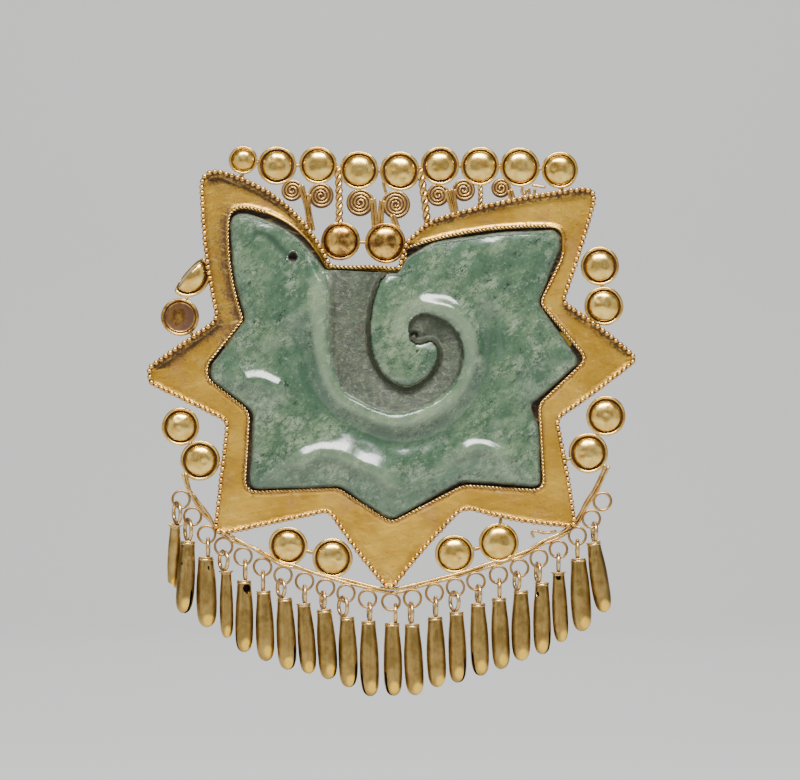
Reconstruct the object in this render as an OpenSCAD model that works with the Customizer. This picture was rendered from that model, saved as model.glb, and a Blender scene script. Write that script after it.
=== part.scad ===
// Pectoral ornament: a gold setting round a carved green stone, with bosses, scrolls and hanging bells.
// Millimetres. X is to the right as seen from the front, Z is up and the front faces -Y.
// The origin is on the neck cord's axis, midway between the two hanging tubes.

/* [Setting] */
// How far the back of the gold tray lies in front of the cord's axis
tray_back = 2; // [1.8:0.1:2.4]
// Thickness of the tray's sheet
sheet = 0.6; // [0.4:0.1:0.8]
// Height of the outer rim above the tray's back
rim_h = 2.1; // [1.6:0.1:2.6]
// Width of the outer rim
rim_w = 0.7; // [0.5:0.1:0.9]
// Height of the inner lip above the tray's back
lip_h = 1.4; // [1:0.1:1.8]
// Width of the inner lip
lip_w = 0.6; // [0.4:0.1:0.8]
// Width of each strap behind the stone
strap_w = 3.2; // [2:0.2:5]
// Thickness of each strap
strap_t = 0.7; // [0.5:0.1:0.9]
// How far the seat behind the stone's edge reaches in under it
seat_w = 1.6; // [1:0.1:2]
// Thickness of the seat
seat_t = 0.4; // [0.3:0.1:0.5]

/* [Bosses] */
// How far a boss's back lies in front of the tray's back
boss_lift = 0.5; // [0.3:0.1:0.8]
// Height of a boss's wire rim
boss_rim_h = 0.8; // [0.6:0.1:1]
// Width of that rim
boss_rim_w = 0.5; // [0.4:0.1:0.6]
// Height of the dome above the flat ring round it
dome_h = 1.5; // [1:0.1:2]
// Radius of the dome as a share of the boss's radius
dome_share = 0.66; // [0.6:0.02:0.72]
// Thickness of the dome's wall
dome_wall = 0.3; // [0.2:0.05:0.4]
// Radius of the solder links between bosses
link_r = 0.3; // [0.2:0.05:0.4]

/* [Wire work] */
// Width of the wire of a scroll
scroll_wire = 0.42; // [0.36:0.02:0.46]
// Distance from one turn of a scroll to the next
scroll_pitch = 0.7; // [0.66:0.02:0.76]
// Depth of the scrolls and their tails, front to back
scroll_t = 0.6; // [0.5:0.05:0.7]
// Radius of the twisted struts
strut_r = 0.45; // [0.35:0.05:0.55]
// Width of each wire of the bow
bow_w = 0.6; // [0.5:0.05:0.65]
// Depth of each wire of the bow, front to back
bow_t = 0.7; // [0.6:0.05:0.8]
// Radius of a loop to the middle of its wire
loop_r = 1.78; // [1.7:0.02:1.84]
// Radius of a loop's wire
loop_wire = 0.18; // [0.16:0.01:0.2]

/* [Bells] */
// Wall of a bell
bell_wall = 0.28; // [0.2:0.02:0.34]
// Radius of the flange on top of a bell
cap_r = 1.55; // [1.5:0.05:1.6]
// Thickness of that flange
cap_t = 0.4; // [0.3:0.05:0.5]
// Radius of the wire of a bell's bail
bail_wire = 0.27; // [0.22:0.01:0.28]
// Play between a bail and its loop
bail_play = 0.08; // [0.06:0.01:0.12]
// Width of a bell's slit
slit_w = 0.6; // [0.4:0.05:0.7]
// Height of the slit from the tip
slit_h = 5; // [3:0.5:6]

/* [Stone] */
// Thickness of the stone at its highest
stone_h = 4.9; // [4:0.1:5.6]
// Gap between the stone and the straps behind it
stone_gap = 0.05; // [0.03:0.01:0.1]
// Depth of the spiral channel below the highest point
channel_d = 3.1; // [2:0.1:3.4]
// Depth of the drilled pits below the face round them
pit_d = 0.9; // [0.4:0.1:1.2]

/* [Hanging tubes] */
// Distance of each tube's middle from the centre line
tube_x = 30.5; // [29:0.5:31]
// Length of a tube
tube_l = 6; // [4:0.5:7]
// Outer radius of a tube
tube_r = 1.3; // [1.2:0.05:1.4]
// Radius of the bore for the cord
tube_bore = 0.85; // [0.6:0.05:0.95]
// Height of a tube's foot
foot_h = 1.8; // [1.6:0.1:2.2]
// Gap between a tube's foot and the tray's back
foot_gap = 0.03; // [0.02:0.01:0.05]

/* [Hidden] */
$fn = 48;
GOLD = "#c9a04e";
BELL_GOLD = "#a78a50";
STONE_GREEN = "#6f927c";

// Steps round a corner, along a bowed edge (one for each so many mm), along a curve between two stations,
// round a turn of a scroll and up the side of a dome
CORNER_STEPS = 4;
EDGE_STEP = 4;
CURVE_STEPS = 3;
TURN_STEPS = 14;
DOME_STEPS = 5;
// Edges bowed less than this are drawn straight
FLAT = 0.12;
// Overlap that joins soldered pieces
SEAT = 0.2;
// Smallest cut of a rounded corner
MIN_CUT = 0.2;
// Overlap of the bow's two wires, and how far each lies in front of or behind the middle of the wire work
BOW_LAP = 0.05;
BOW_STEP = 0.1;
// How much thinner the tails of the scrolls are at each face
TAIL_STEP = 0.05;
// Straps behind the stone: both ends and the lower edge of the one across, both ends and the left edge
// of the upright one
ACROSS = [-36, 36, -28.4];
UPRIGHT = [-66, -13, -3.4];
// Middle of the tubes' feet above the cord's axis
FOOT_Z = 0.5;
// Depth of the hook-shaped groove and of the crease below the stone's highest point
HOOK_D = 1;
CREASE_D = 0.8;

// Columns of an outline: x, z, cut of the rounded corner, outward bow of the edge that follows
RIM = [
    [-38.4, 7.6, 4.0, 4.4],
    [-12.4, -12.2, 1.0, -0.2],
    [1.0, -12.8, 1.0, 0],
    [2.6, -7.4, 1.0, 0],
    [7.2, -3.2, 2.0, 1.0],
    [41.0, 3.6, 3.4, 0.4],
    [34.0, -19.4, 1.4, 0.5],
    [49.0, -30.8, 1.8, 0.3],
    [32.8, -42.8, 1.6, 0.2],
    [36.6, -64.4, 1.2, 0.7],
    [14.2, -60.5, 2.0, -0.5],
    [-0.6, -77.4, 1.8, 0.4],
    [-12.8, -61.2, 1.4, 0],
    [-35.8, -66.2, 2.6, 0],
    [-33.2, -43.2, 1.6, 0],
    [-48.8, -35.6, 1.0, 0],
    [-48.9, -32.4, 1.0, 0],
    [-35.2, -22.8, 1.6, 0.9],
];
OPENING = [
    [-32.6, -0.4, 3.0, 3.4],
    [-13.4, -12.8, 0.8, 0],
    [1.4, -13.4, 0.6, 0],
    [2.6, -8.8, 0.8, 1.5],
    [33.8, -4.6, 2.4, 0],
    [33.8, -10.2, 1.4, 0],
    [29.2, -19.6, 1.4, 0],
    [38.6, -30.8, 2.0, 0],
    [29.0, -39.8, 1.6, 0],
    [30.0, -57.0, 2.4, 0],
    [14.2, -55.9, 1.6, 0],
    [-0.4, -63.4, 1.6, 0],
    [-11.0, -56.5, 1.4, 0],
    [-29.6, -57.3, 2.6, 0],
    [-28.6, -41.2, 2.0, 0],
    [-37.1, -34.6, 1.0, 0],
    [-37.1, -32.0, 1.0, 0],
    [-29.9, -23.0, 0.8, 1.3],
];
STONE = [
    [-32.2, -1.6, 2.8, 2.8],
    [-13.8, -13.3, 0.6, 0],
    [1.1, -13.9, 0.6, 0],
    [2.8, -10.6, 0.8, 0],
    [7.4, -7.9, 1.6, 0.6],
    [32.8, -5.2, 1.8, 0],
    [33.3, -8.6, 1.0, 0],
    [28.7, -19.6, 1.2, 0],
    [37.2, -31.4, 1.4, 0],
    [27.2, -40.0, 1.0, 0],
    [28.9, -44.6, 1.2, 0],
    [29.4, -56.2, 1.8, 0],
    [13.6, -55.0, 1.2, 0],
    [-0.4, -62.9, 1.6, 0],
    [-10.6, -56.0, 1.2, 0],
    [-28.6, -56.7, 2.2, 0],
    [-27.6, -41.3, 1.6, 0],
    [-36.1, -34.8, 0.8, 0],
    [-36.2, -32.2, 0.8, 0],
    [-29.2, -22.9, 1.0, 1.0],
];
// Middle that the stone's face rises towards
STONE_MID = [0, -33];
// Rings of the stone's face from its edge inwards: share of the outline, share of the full thickness
FACE = [[1, 0], [1, 0.26], [0.985, 0.42], [0.95, 0.58], [0.88, 0.75], [0.75, 0.88], [0.5, 0.97]];
// Stations of the spiral channel from the notch inwards: x, z, half width
CHANNEL = [
    [-6.6, -10.6, 6.8],
    [-7.2, -15.0, 5.4],
    [-8.8, -19.4, 4.2],
    [-9.4, -24.2, 4.0],
    [-8.6, -29.0, 3.8],
    [-6.0, -34.0, 3.3],
    [-1.8, -37.6, 2.8],
    [3.2, -38.6, 2.5],
    [8.2, -36.6, 2.6],
    [11.4, -32.6, 2.6],
    [11.6, -28.2, 2.3],
    [9.6, -25.2, 1.9],
    [6.8, -24.6, 1.9],
    [4.2, -26.0, 1.2],
];
// Stations of the hook-shaped groove that ends in a pit: x, z, half width
HOOK = [[-27.0, -5.2, 0.35], [-24.8, -6.2, 0.5], [-23.4, -8.0, 0.5], [-21.8, -9.4, 0.5], [-20.2, -10.6, 0.6]];
// Shallow groove on the right: x, z, half width
CREASE = [[24.2, -9.6, 0.3], [19.4, -12.6, 0.5], [14.8, -16.0, 0.3]];
// Drilled pits: x, z, radius, how far the face there lies below the stone's highest point
PITS = [[-20.0, -10.7, 1.0, 0.9], [4.1, -26.3, 0.8, 3.0]];

// Columns of BOSSES: x, z, radius
BOSSES = [
    [-30.0, 9.0, 2.9],
    [-23.2, 7.9, 3.9],
    [-15.0, 8.0, 3.8],
    [-6.8, 7.0, 3.9],
    [1.4, 6.8, 4.0],
    [9.4, 7.9, 3.9],
    [17.4, 7.8, 3.9],
    [25.4, 7.6, 4.0],
    [33.4, 7.0, 3.7],
    [-10.5, -7.2, 3.9],
    [-1.5, -7.6, 4.1],
    [-40.0, -15.2, 3.8],
    [-42.6, -22.4, 3.8],
    [-42.5, -44.3, 3.8],
    [-38.6, -51.1, 4.0],
    [41.4, -12.2, 3.9],
    [42.2, -20.2, 3.9],
    [42.6, -42.2, 4.0],
    [39.1, -49.6, 4.0],
    [-21.0, -68.2, 3.9],
    [-12.1, -70.6, 4.0],
    [12.3, -69.8, 3.9],
    [21.2, -67.6, 4.0],
];
// Pairs of bosses joined by a solder link
LINKED = [
    [0, 1], [1, 2], [2, 3], [3, 4], [4, 5], [5, 6], [6, 7], [7, 8],
    [9, 10], [11, 12], [13, 14], [15, 16], [17, 18], [19, 20], [21, 22],
];
// Other solder links, from a boss to the rim: x and z of both ends
TIES = [
    [-30.0, 6.6, -30.4, 5.2],
    [-35.2, -51.6, -33.4, -52.0],
    [35.6, -50.6, 34.0, -51.2],
    [21.4, -64.4, 21.6, -62.4],
    [-40.8, -25.1, -39.9, -26.4],
    [33.6, 3.8, 33.8, 2.7],
];
// Columns of SCROLLS: x, z, outer radius, turns, where the outer end lies (degrees), way it winds inwards
SCROLLS = [
    [-20.2, 2.9, 2.3, 2.5, 15, 1],
    [-14.4, 1.9, 2.7, 3.0, 190, -1],
    [-6.6, 0.5, 2.9, 3.3, 0, 1],
    [0.6, 0.1, 3.0, 3.6, 180, -1],
    [9.0, 2.0, 2.4, 2.7, 10, 1],
    [14.2, 3.0, 2.4, 2.7, 190, -1],
    [21.6, 3.4, 2.1, 2.3, -30, 1],
];
// Tails of the scrolls down to what carries them
TAILS = [
    [[-18.4, 3.9], [-18.0, 2.4], [-17.3, 0.2], [-16.2, -5.0]],
    [[-16.8, 2.1], [-17.1, 0.6], [-16.7, -3.6]],
    [[-4.0, 1.2], [-3.9, 0], [-3.6, -4.4]],
    [[-2.1, 0.8], [-2.3, -0.4], [-2.6, -4.4]],
    [[-0.1, -2.0], [0.8, -4.5]],
    [[11.0, 2.9], [11.3, 1.4], [12.4, -2.2]],
    [[12.1, 3.1], [12.0, 1.8], [12.7, -2.2]],
    [[23.4, 2.9], [23.6, 2.2], [24.0, 1.0]],
];
// Twisted struts: x and z of both ends
STRUTS = [[-11.0, 7.4, -10.8, -3.8], [5.4, 7.2, 6.8, -3.4], [17.4, 4.4, 17.4, -0.4]];
// Route of the bow under the tray
BOW = [
    [-41.8, -53.8],
    [-40.8, -56.8],
    [-39.4, -59.2],
    [-37.1, -62.3],
    [-35.2, -64.8],
    [-32.4, -66.6],
    [-27.9, -68.6],
    [-22.8, -71.5],
    [-18.6, -72.6],
    [-13.0, -74.3],
    [-7.6, -75.7],
    [-0.6, -77.2],
    [5.4, -75.9],
    [11.4, -74.4],
    [17.6, -72.6],
    [21.8, -71.2],
    [26.0, -69.8],
    [29.6, -67.8],
    [33.3, -66.1],
    [36.4, -63.8],
    [38.4, -60.4],
    [40.8, -56.6],
    [42.8, -52.2],
];
// Loops under the bow, left to right: x, z. The last one is empty
LOOPS = [
    [-42.4, -58.9],
    [-40.1, -62.3],
    [-37.3, -65.9],
    [-33.9, -68.3],
    [-30.0, -70.3],
    [-26.1, -72.4],
    [-22.0, -74.1],
    [-17.7, -75.3],
    [-13.5, -76.6],
    [-9.4, -77.7],
    [-5.1, -78.8],
    [-0.4, -79.4],
    [3.9, -78.7],
    [8.3, -77.6],
    [12.5, -76.5],
    [16.6, -75.3],
    [21.1, -74.0],
    [25.3, -72.6],
    [29.2, -70.7],
    [33.1, -68.9],
    [36.9, -66.2],
    [39.7, -62.8],
    [41.9, -59.3],
];
// Columns of BELLS: top x and z, tip x and z, radius, where the bail hangs beside its loop's middle,
// turn of the bail, turn of the slit's left end to the front, backward lean (turns and lean in degrees)
BELLS = [
    [-43.6, -63.8, -44.1, -77.8, 1.34, -0.8, 22, 0, 13],
    [-41.0, -67.3, -41.9, -81.9, 1.85, -0.9, 20, -40, -4],
    [-37.5, -70.4, -37.2, -84.7, 2.05, 0.3, 0, 4, 0],
    [-33.4, -73.2, -33.2, -86.9, 1.35, 0, 28, -8, 0],
    [-29.8, -75.1, -29.8, -89.7, 1.85, 0.4, 5, 24, 0],
    [-25.9, -77.2, -25.4, -91.5, 1.85, 0.1, 0, 5, 0],
    [-21.7, -78.6, -21.0, -93.2, 1.95, -0.4, 26, -34, 0],
    [-17.9, -79.7, -16.8, -94.0, 1.75, 0, 6, 12, 0],
    [-13.8, -80.9, -12.8, -95.1, 1.95, -0.5, 14, -26, 0],
    [-9.2, -82.4, -8.8, -96.7, 1.90, -0.6, 28, -34, 0],
    [-4.9, -83.2, -4.5, -98.5, 1.90, 0.4, 8, 34, 0],
    [-0.2, -83.6, 0.1, -98.4, 1.90, 0.9, 0, 38, 0],
    [3.8, -83.8, 4.5, -98.3, 1.95, -0.3, 8, 6, 0],
    [8.4, -82.4, 8.9, -96.7, 1.95, 0.2, 6, -5, 0],
    [12.7, -81.4, 13.0, -95.8, 1.85, -0.2, 26, -34, 0],
    [17.0, -79.7, 17.6, -94.4, 1.90, 0.5, 12, 36, 0],
    [21.2, -78.6, 21.7, -93.1, 1.85, 0.2, 0, -12, 0],
    [25.6, -77.1, 25.7, -91.4, 1.90, -0.5, 16, 10, 0],
    [29.8, -75.5, 29.9, -90.1, 1.80, -0.2, 12, -30, 0],
    [33.1, -73.4, 33.7, -87.7, 1.55, 0, 0, -15, 0],
    [37.1, -70.7, 37.9, -85.5, 2.05, 0, 0, -6, 0],
    [40.1, -67.4, 42.4, -81.7, 1.80, 0.6, 10, 10, 0],
];
// Outside of a bell: share of its length from the top, share of its radius
BELL_FORM = [
    [0, 0.74], [0.12, 0.8], [0.3, 0.93], [0.5, 1],
    [0.68, 1], [0.82, 0.92], [0.91, 0.74], [0.97, 0.45],
];

// Depths in front of the cord's axis
boss_back = tray_back + boss_lift;
wire_mid = boss_back + scroll_t / 2 + 0.1;
loop_mid = wire_mid + 0.05;
strap_back = tray_back - strap_t + SEAT;
stone_back = tray_back + SEAT + stone_gap;

function bell_name(i) = str("bell_", i < 9 ? "0" : "", i + 1);
function unit(v) = v / norm(v);
function left(v) = [-v[1], v[0]];
function at(row) = [row[0], row[1]];
function quad(a, c, b, t) = (1 - t) * (1 - t) * a + 2 * t * (1 - t) * c + t * t * b;

// Control point of an edge whose middle is bowed to its left
function control(a, b, bow) = (a + b) / 2 + 2 * bow * left(unit(b - a));

// Corner i moved outward along its mitre, with the cut that keeps the rounding concentric
function mitre(tb, i, off) =
    let (
        n = len(tb),
        prev = tb[(i + n - 1) % n],
        p = at(tb[i]),
        u = unit(p - control(at(prev), p, prev[3])),
        v = unit(control(p, at(tb[(i + 1) % n]), tb[i][3]) - p),
        turn = cross(u, v) / (1 + u * v)
    )
    [p + off * (left(u) + left(v)) / (1 + u * v), max(MIN_CUT, tb[i][2] - off * turn)];

// Bow of edge i once its ends have moved, so that its middle moves by the same distance
function moved_bow(tb, i, off) =
    let (
        j = (i + 1) % len(tb),
        a = at(tb[i]),
        b = at(tb[j]),
        a2 = mitre(tb, i, off)[0],
        b2 = mitre(tb, j, off)[0]
    )
    ((a + b) / 2 + (tb[i][3] + off) * left(unit(b - a)) - (a2 + b2) / 2) * left(unit(b2 - a2));

function moved(tb, off) = [
    for (i = [0:len(tb) - 1])
        let (m = mitre(tb, i, off))
        [m[0][0], m[0][1], m[1], moved_bow(tb, i, off)]
];

// Points of an outline moved outward by off: bowed edges between rounded corners
function outline(tb, off = 0) =
    let (rows = moved(tb, off), n = len(rows))
    [
        for (i = [0:n - 1])
            let (
                before = rows[(i + n - 1) % n],
                after = rows[(i + 1) % n],
                a = at(before),
                p = at(rows[i]),
                b = at(after),
                c0 = control(a, p, before[3]),
                c1 = control(p, b, rows[i][3]),
                t0 = rows[i][2] / norm(b - p),
                t1 = 1 - after[2] / norm(b - p),
                from = quad(a, c0, p, 1 - rows[i][2] / norm(p - a)),
                to = quad(p, c1, b, t0),
                steps = abs(rows[i][3]) < FLAT ? 1 : ceil(norm(b - p) / EDGE_STEP)
            )
            each concat(
                [for (k = [0:CORNER_STEPS]) quad(from, p, to, k / CORNER_STEPS)],
                steps < 2 ? [] : [for (k = [1:steps - 1]) quad(p, c1, b, t0 + (t1 - t0) * k / steps)]
            )
    ];

// A smooth curve through the rows of a table, in all their columns
function spline(p0, p1, p2, p3, t) =
    (2 * p1 + t * (p2 - p0) + t * t * (2 * p0 - 5 * p1 + 4 * p2 - p3)
        + t * t * t * (3 * p1 - p0 - 3 * p2 + p3)) / 2;
function curve(tb, steps = CURVE_STEPS) =
    let (n = len(tb))
    concat(
        [
            for (i = [0:n - 2])
                for (k = [0:steps - 1])
                    spline(tb[max(i - 1, 0)], tb[i], tb[i + 1], tb[min(i + 2, n - 1)], k / steps)
        ],
        [tb[n - 1]]
    );

// Left normal of a line at point i, longer at a bend so that a strip keeps its width
function normal_at(pts, i) =
    let (
        n = len(pts),
        u = unit(at(pts[max(i, 1)]) - at(pts[max(i, 1) - 1])),
        v = unit(at(pts[min(i + 1, n - 1)]) - at(pts[min(i + 1, n - 1) - 1]))
    )
    (left(u) + left(v)) / (1 + u * v);
// A strip along a line, from lo to hi times w on its left
function strip(pts, lo, hi) =
    let (n = len(pts))
    concat(
        [for (i = [0:n - 1]) at(pts[i]) + hi * normal_at(pts, i)],
        [for (i = [n - 1:-1:0]) at(pts[i]) + lo * normal_at(pts, i)]
    );
// A strip whose half width is the third column
function channel_outline(pts) =
    let (n = len(pts))
    concat(
        [for (i = [0:n - 1]) at(pts[i]) + pts[i][2] * normal_at(pts, i)],
        [for (i = [n - 1:-1:0]) at(pts[i]) - pts[i][2] * normal_at(pts, i)]
    );

// What is drawn in X and Z, from one depth to another in front of the cord's axis
module slab(d0, d1) {
    translate([0, -d0, 0]) rotate([90, 0, 0]) linear_extrude(d1 - d0) children();
}

// A round rod between two points at one depth
module rod(x0, z0, x1, z1, d, r) {
    translate([x0, -d, z0])
        rotate([0, atan2(x1 - x0, z1 - z0), 0])
            cylinder(r = r, h = norm([x1 - x0, z1 - z0]));
}

// A ring of round wire about the Y axis
module wire_ring(r, wire) {
    rotate([90, 0, 0]) rotate_extrude() translate([r, 0]) circle(wire);
}

module tray() {
    difference() {
        slab(tray_back, tray_back + rim_h) polygon(outline(RIM, rim_w / 2));
        difference() {
            slab(tray_back + sheet, tray_back + rim_h + 1) polygon(outline(RIM, -rim_w / 2));
            slab(tray_back, tray_back + lip_h) polygon(outline(OPENING, lip_w));
        }
        slab(tray_back - 1, tray_back + rim_h + 1) polygon(outline(OPENING));
    }
}

// Straps behind the stone, and the narrow seat behind its edge
module straps() {
    slab(tray_back - seat_t + SEAT / 2, tray_back + SEAT / 2)
        difference() {
            polygon(outline(OPENING, SEAT));
            polygon(outline(OPENING, -seat_w));
        }
    slab(strap_back, strap_back + strap_t) {
        translate([ACROSS[0], ACROSS[2]]) square([ACROSS[1] - ACROSS[0], strap_w]);
        translate([UPRIGHT[2], UPRIGHT[0]]) square([strap_w, UPRIGHT[1] - UPRIGHT[0]]);
    }
}

module boss(x, z, r) {
    ring = r - boss_rim_w;
    dome = r * dome_share;
    flat = boss_rim_h / 2;
    step = 90 / DOME_STEPS;
    translate([x, -boss_back, z]) rotate([90, 0, 0]) rotate_extrude() polygon(concat(
        [[dome - dome_wall, 0], [r, 0], [r, boss_rim_h], [ring, boss_rim_h], [ring, flat]],
        [for (k = [0:DOME_STEPS]) [dome * cos(k * step), flat + dome_h * sin(k * step)]],
        [
            for (k = [DOME_STEPS:-1:1])
                [(dome - dome_wall) * cos(k * step), flat + (dome_h - dome_wall) * sin(k * step)]
        ]
    ));
}

// A short link between the rims of two bosses
module boss_link(a, b) {
    u = unit(at(b) - at(a));
    from = at(a) + (a[2] - SEAT) * u;
    to = at(b) - (b[2] - SEAT) * u;
    rod(from[0], from[1], to[0], to[1], boss_back + boss_rim_h / 2, link_r);
}

module bosses() {
    for (b = BOSSES) boss(b[0], b[1], b[2]);
    for (p = LINKED) boss_link(BOSSES[p[0]], BOSSES[p[1]]);
    for (t = TIES) rod(t[0], t[1], t[2], t[3], boss_back + boss_rim_h / 2, link_r);
}

module scroll(x, z, r, turns, start, way) {
    steps = ceil(turns * TURN_STEPS);
    pts = [
        for (k = [0:steps])
            let (
                a = start + way * 360 * turns * k / steps,
                q = r - scroll_wire / 2 - scroll_pitch * turns * k / steps
            )
            [x + q * cos(a), z + q * sin(a)]
    ];
    slab(wire_mid - scroll_t / 2, wire_mid + scroll_t / 2)
        polygon(strip(pts, -scroll_wire / 2, scroll_wire / 2));
}

module scrolls() {
    for (s = SCROLLS) scroll(s[0], s[1], s[2], s[3], s[4], s[5]);
    for (t = TAILS)
        slab(wire_mid - scroll_t / 2 + TAIL_STEP, wire_mid + scroll_t / 2 - TAIL_STEP)
            polygon(strip(t, -scroll_wire / 2, scroll_wire / 2));
    for (s = STRUTS) rod(s[0], s[1], s[2], s[3], wire_mid, strut_r);
}

module bow() {
    line = curve(BOW);
    translate([0, -BOW_STEP, 0])
        slab(wire_mid - bow_t / 2, wire_mid + bow_t / 2) polygon(strip(line, -BOW_LAP, bow_w));
    translate([0, BOW_STEP, 0])
        slab(wire_mid - bow_t / 2, wire_mid + bow_t / 2) polygon(strip(line, -bow_w, BOW_LAP));
    for (l = LOOPS) translate([l[0], -loop_mid, l[1]]) wire_ring(loop_r, loop_wire);
}

module gold_mount() {
    color(GOLD) {
        union() {
            tray();
            straps();
        }
        bosses();
        scrolls();
        bow();
    }
}

// The stone's body: rings of its outline that draw in and rise from the back to the face
module stone_body() {
    edge = outline(STONE);
    n = len(edge);
    rings = len(FACE);
    points = concat(
        [
            for (f = FACE)
                for (p = edge)
                    let (q = STONE_MID + f[0] * (p - STONE_MID))
                    [q[0], -stone_back - f[1] * stone_h, q[1]]
        ],
        [for (h = [0, stone_h]) [STONE_MID[0], -stone_back - h, STONE_MID[1]]]
    );
    back = [for (i = [0:n - 1]) [rings * n, (i + 1) % n, i]];
    top = (rings - 1) * n;
    front = [for (i = [0:n - 1]) [rings * n + 1, top + i, top + (i + 1) % n]];
    sides = [
        for (r = [0:rings - 2])
            for (i = [0:n - 1])
                let (a = r * n + i, b = r * n + (i + 1) % n)
                each [[a, b, b + n], [a, b + n, a + n]]
    ];
    polyhedron(points = points, faces = concat(back, front, sides));
}

module jade_plaque() {
    top = stone_back + stone_h + 1;
    color(STONE_GREEN) difference() {
        stone_body();
        slab(stone_back + stone_h - channel_d, top) polygon(channel_outline(curve(CHANNEL, 2)));
        slab(stone_back + stone_h - HOOK_D, top) polygon(channel_outline(curve(HOOK, 2)));
        slab(stone_back + stone_h - CREASE_D, top) polygon(channel_outline(CREASE));
        for (p = PITS)
            translate([p[0], pit_d + p[3] - stone_back - stone_h, p[1]])
                rotate([90, 0, 0])
                    cylinder(r = p[2], h = stone_h, $fn = 12);
    }
}

module hanger(side) {
    color(GOLD) translate([side * tube_x, 0, 0]) difference() {
        union() {
            rotate([0, 90, 0]) cylinder(r = tube_r, h = tube_l, center = true);
            translate([-tube_l / 2, -tray_back + foot_gap, FOOT_Z - foot_h / 2])
                cube([tube_l, tray_back - foot_gap, foot_h]);
        }
        rotate([0, 90, 0]) cylinder(r = tube_bore, h = tube_l + 2, center = true);
    }
}
module hanger_left() { hanger(-1); }
module hanger_right() { hanger(1); }

// A hollow bell hanging down the Z axis from its top, closed by a flange and slit at its tip
module bell_body(length, r, slit_turn) {
    in = r - bell_wall;
    outer = [for (f = BELL_FORM) [r * f[1], -cap_t - (length - cap_t) * f[0]]];
    inner = [
        for (k = [len(BELL_FORM) - 1:-1:0])
            [in * BELL_FORM[k][1], -cap_t - (length - cap_t - bell_wall) * BELL_FORM[k][0]]
    ];
    difference() {
        rotate_extrude() polygon(concat(
            [[0, 0], [cap_r, 0], [cap_r, -cap_t]], outer,
            [[0, -length], [0, bell_wall - length]], inner, [[0, -cap_t]]
        ));
        rotate([0, 0, slit_turn])
            translate([-3 * r, -slit_w / 2, -length - 1])
                cube([6 * r, slit_w, slit_h + 1]);
    }
}

// A bell with the bail that goes through its loop
module bell(i) {
    b = BELLS[i];
    top = [b[0], b[1]];
    tip = [b[2], b[3]];
    drop = sqrt(loop_r * loop_r - b[5] * b[5]);
    bail_top = LOOPS[i][1] - drop + (loop_wire + bail_play + bail_wire) * loop_r / drop + bail_wire;
    bail_r = (bail_top - top[1] + cap_t / 2) / 2 - bail_wire;
    color(BELL_GOLD) {
        translate([top[0], -loop_mid, top[1]])
            rotate([0, atan2(top[0] - tip[0], top[1] - tip[1]), 0])
                rotate([b[8], 0, 0])
                    bell_body(norm(tip - top), b[4], b[7]);
        translate([LOOPS[i][0] + b[5], -loop_mid, bail_top - bail_wire - bail_r])
            rotate([0, 0, 90 + b[6]])
                wire_ring(bail_r, bail_wire);
    }
}

gold_mount();
jade_plaque();
hanger_left();
hanger_right();
for (i = [0:len(BELLS) - 1]) bell(i);
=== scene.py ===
"""Pectoral ornament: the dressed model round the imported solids.

Sizes are in millimetres as (x, depth, z), the depth being measured forwards from the neck cord's axis.
"""
import math
import random

import bmesh
import bpy
import numpy as np
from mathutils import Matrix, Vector, geometry


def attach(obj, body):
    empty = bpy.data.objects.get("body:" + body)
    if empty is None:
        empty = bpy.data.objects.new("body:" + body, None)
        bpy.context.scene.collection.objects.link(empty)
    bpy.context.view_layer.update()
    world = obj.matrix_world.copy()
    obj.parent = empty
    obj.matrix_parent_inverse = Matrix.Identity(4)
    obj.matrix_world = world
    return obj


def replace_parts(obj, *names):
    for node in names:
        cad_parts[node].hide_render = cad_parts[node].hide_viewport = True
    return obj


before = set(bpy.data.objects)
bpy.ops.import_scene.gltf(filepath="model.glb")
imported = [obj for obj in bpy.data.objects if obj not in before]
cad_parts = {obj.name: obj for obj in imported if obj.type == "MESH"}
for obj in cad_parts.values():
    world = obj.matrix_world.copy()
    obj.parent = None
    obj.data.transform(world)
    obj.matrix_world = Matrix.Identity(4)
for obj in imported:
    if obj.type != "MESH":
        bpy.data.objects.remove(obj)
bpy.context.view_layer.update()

SEED = 7
rng = random.Random(SEED)

# Depths of the setting, and of the stone's back with its thickness
TRAY_BACK, FLOOR, NARROW_FLOOR = 2.0, 2.66, 3.35
RIM_TOP, BEAD_MID = 3.5, 3.98
LIP_TOP, ROPE_MID = 3.08, 3.45
BOSS_BACK, WIRE_MID, LOOP_MID = 2.5, 2.9, 2.95
STONE_BACK, STONE_H = 2.25, 4.9

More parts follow.
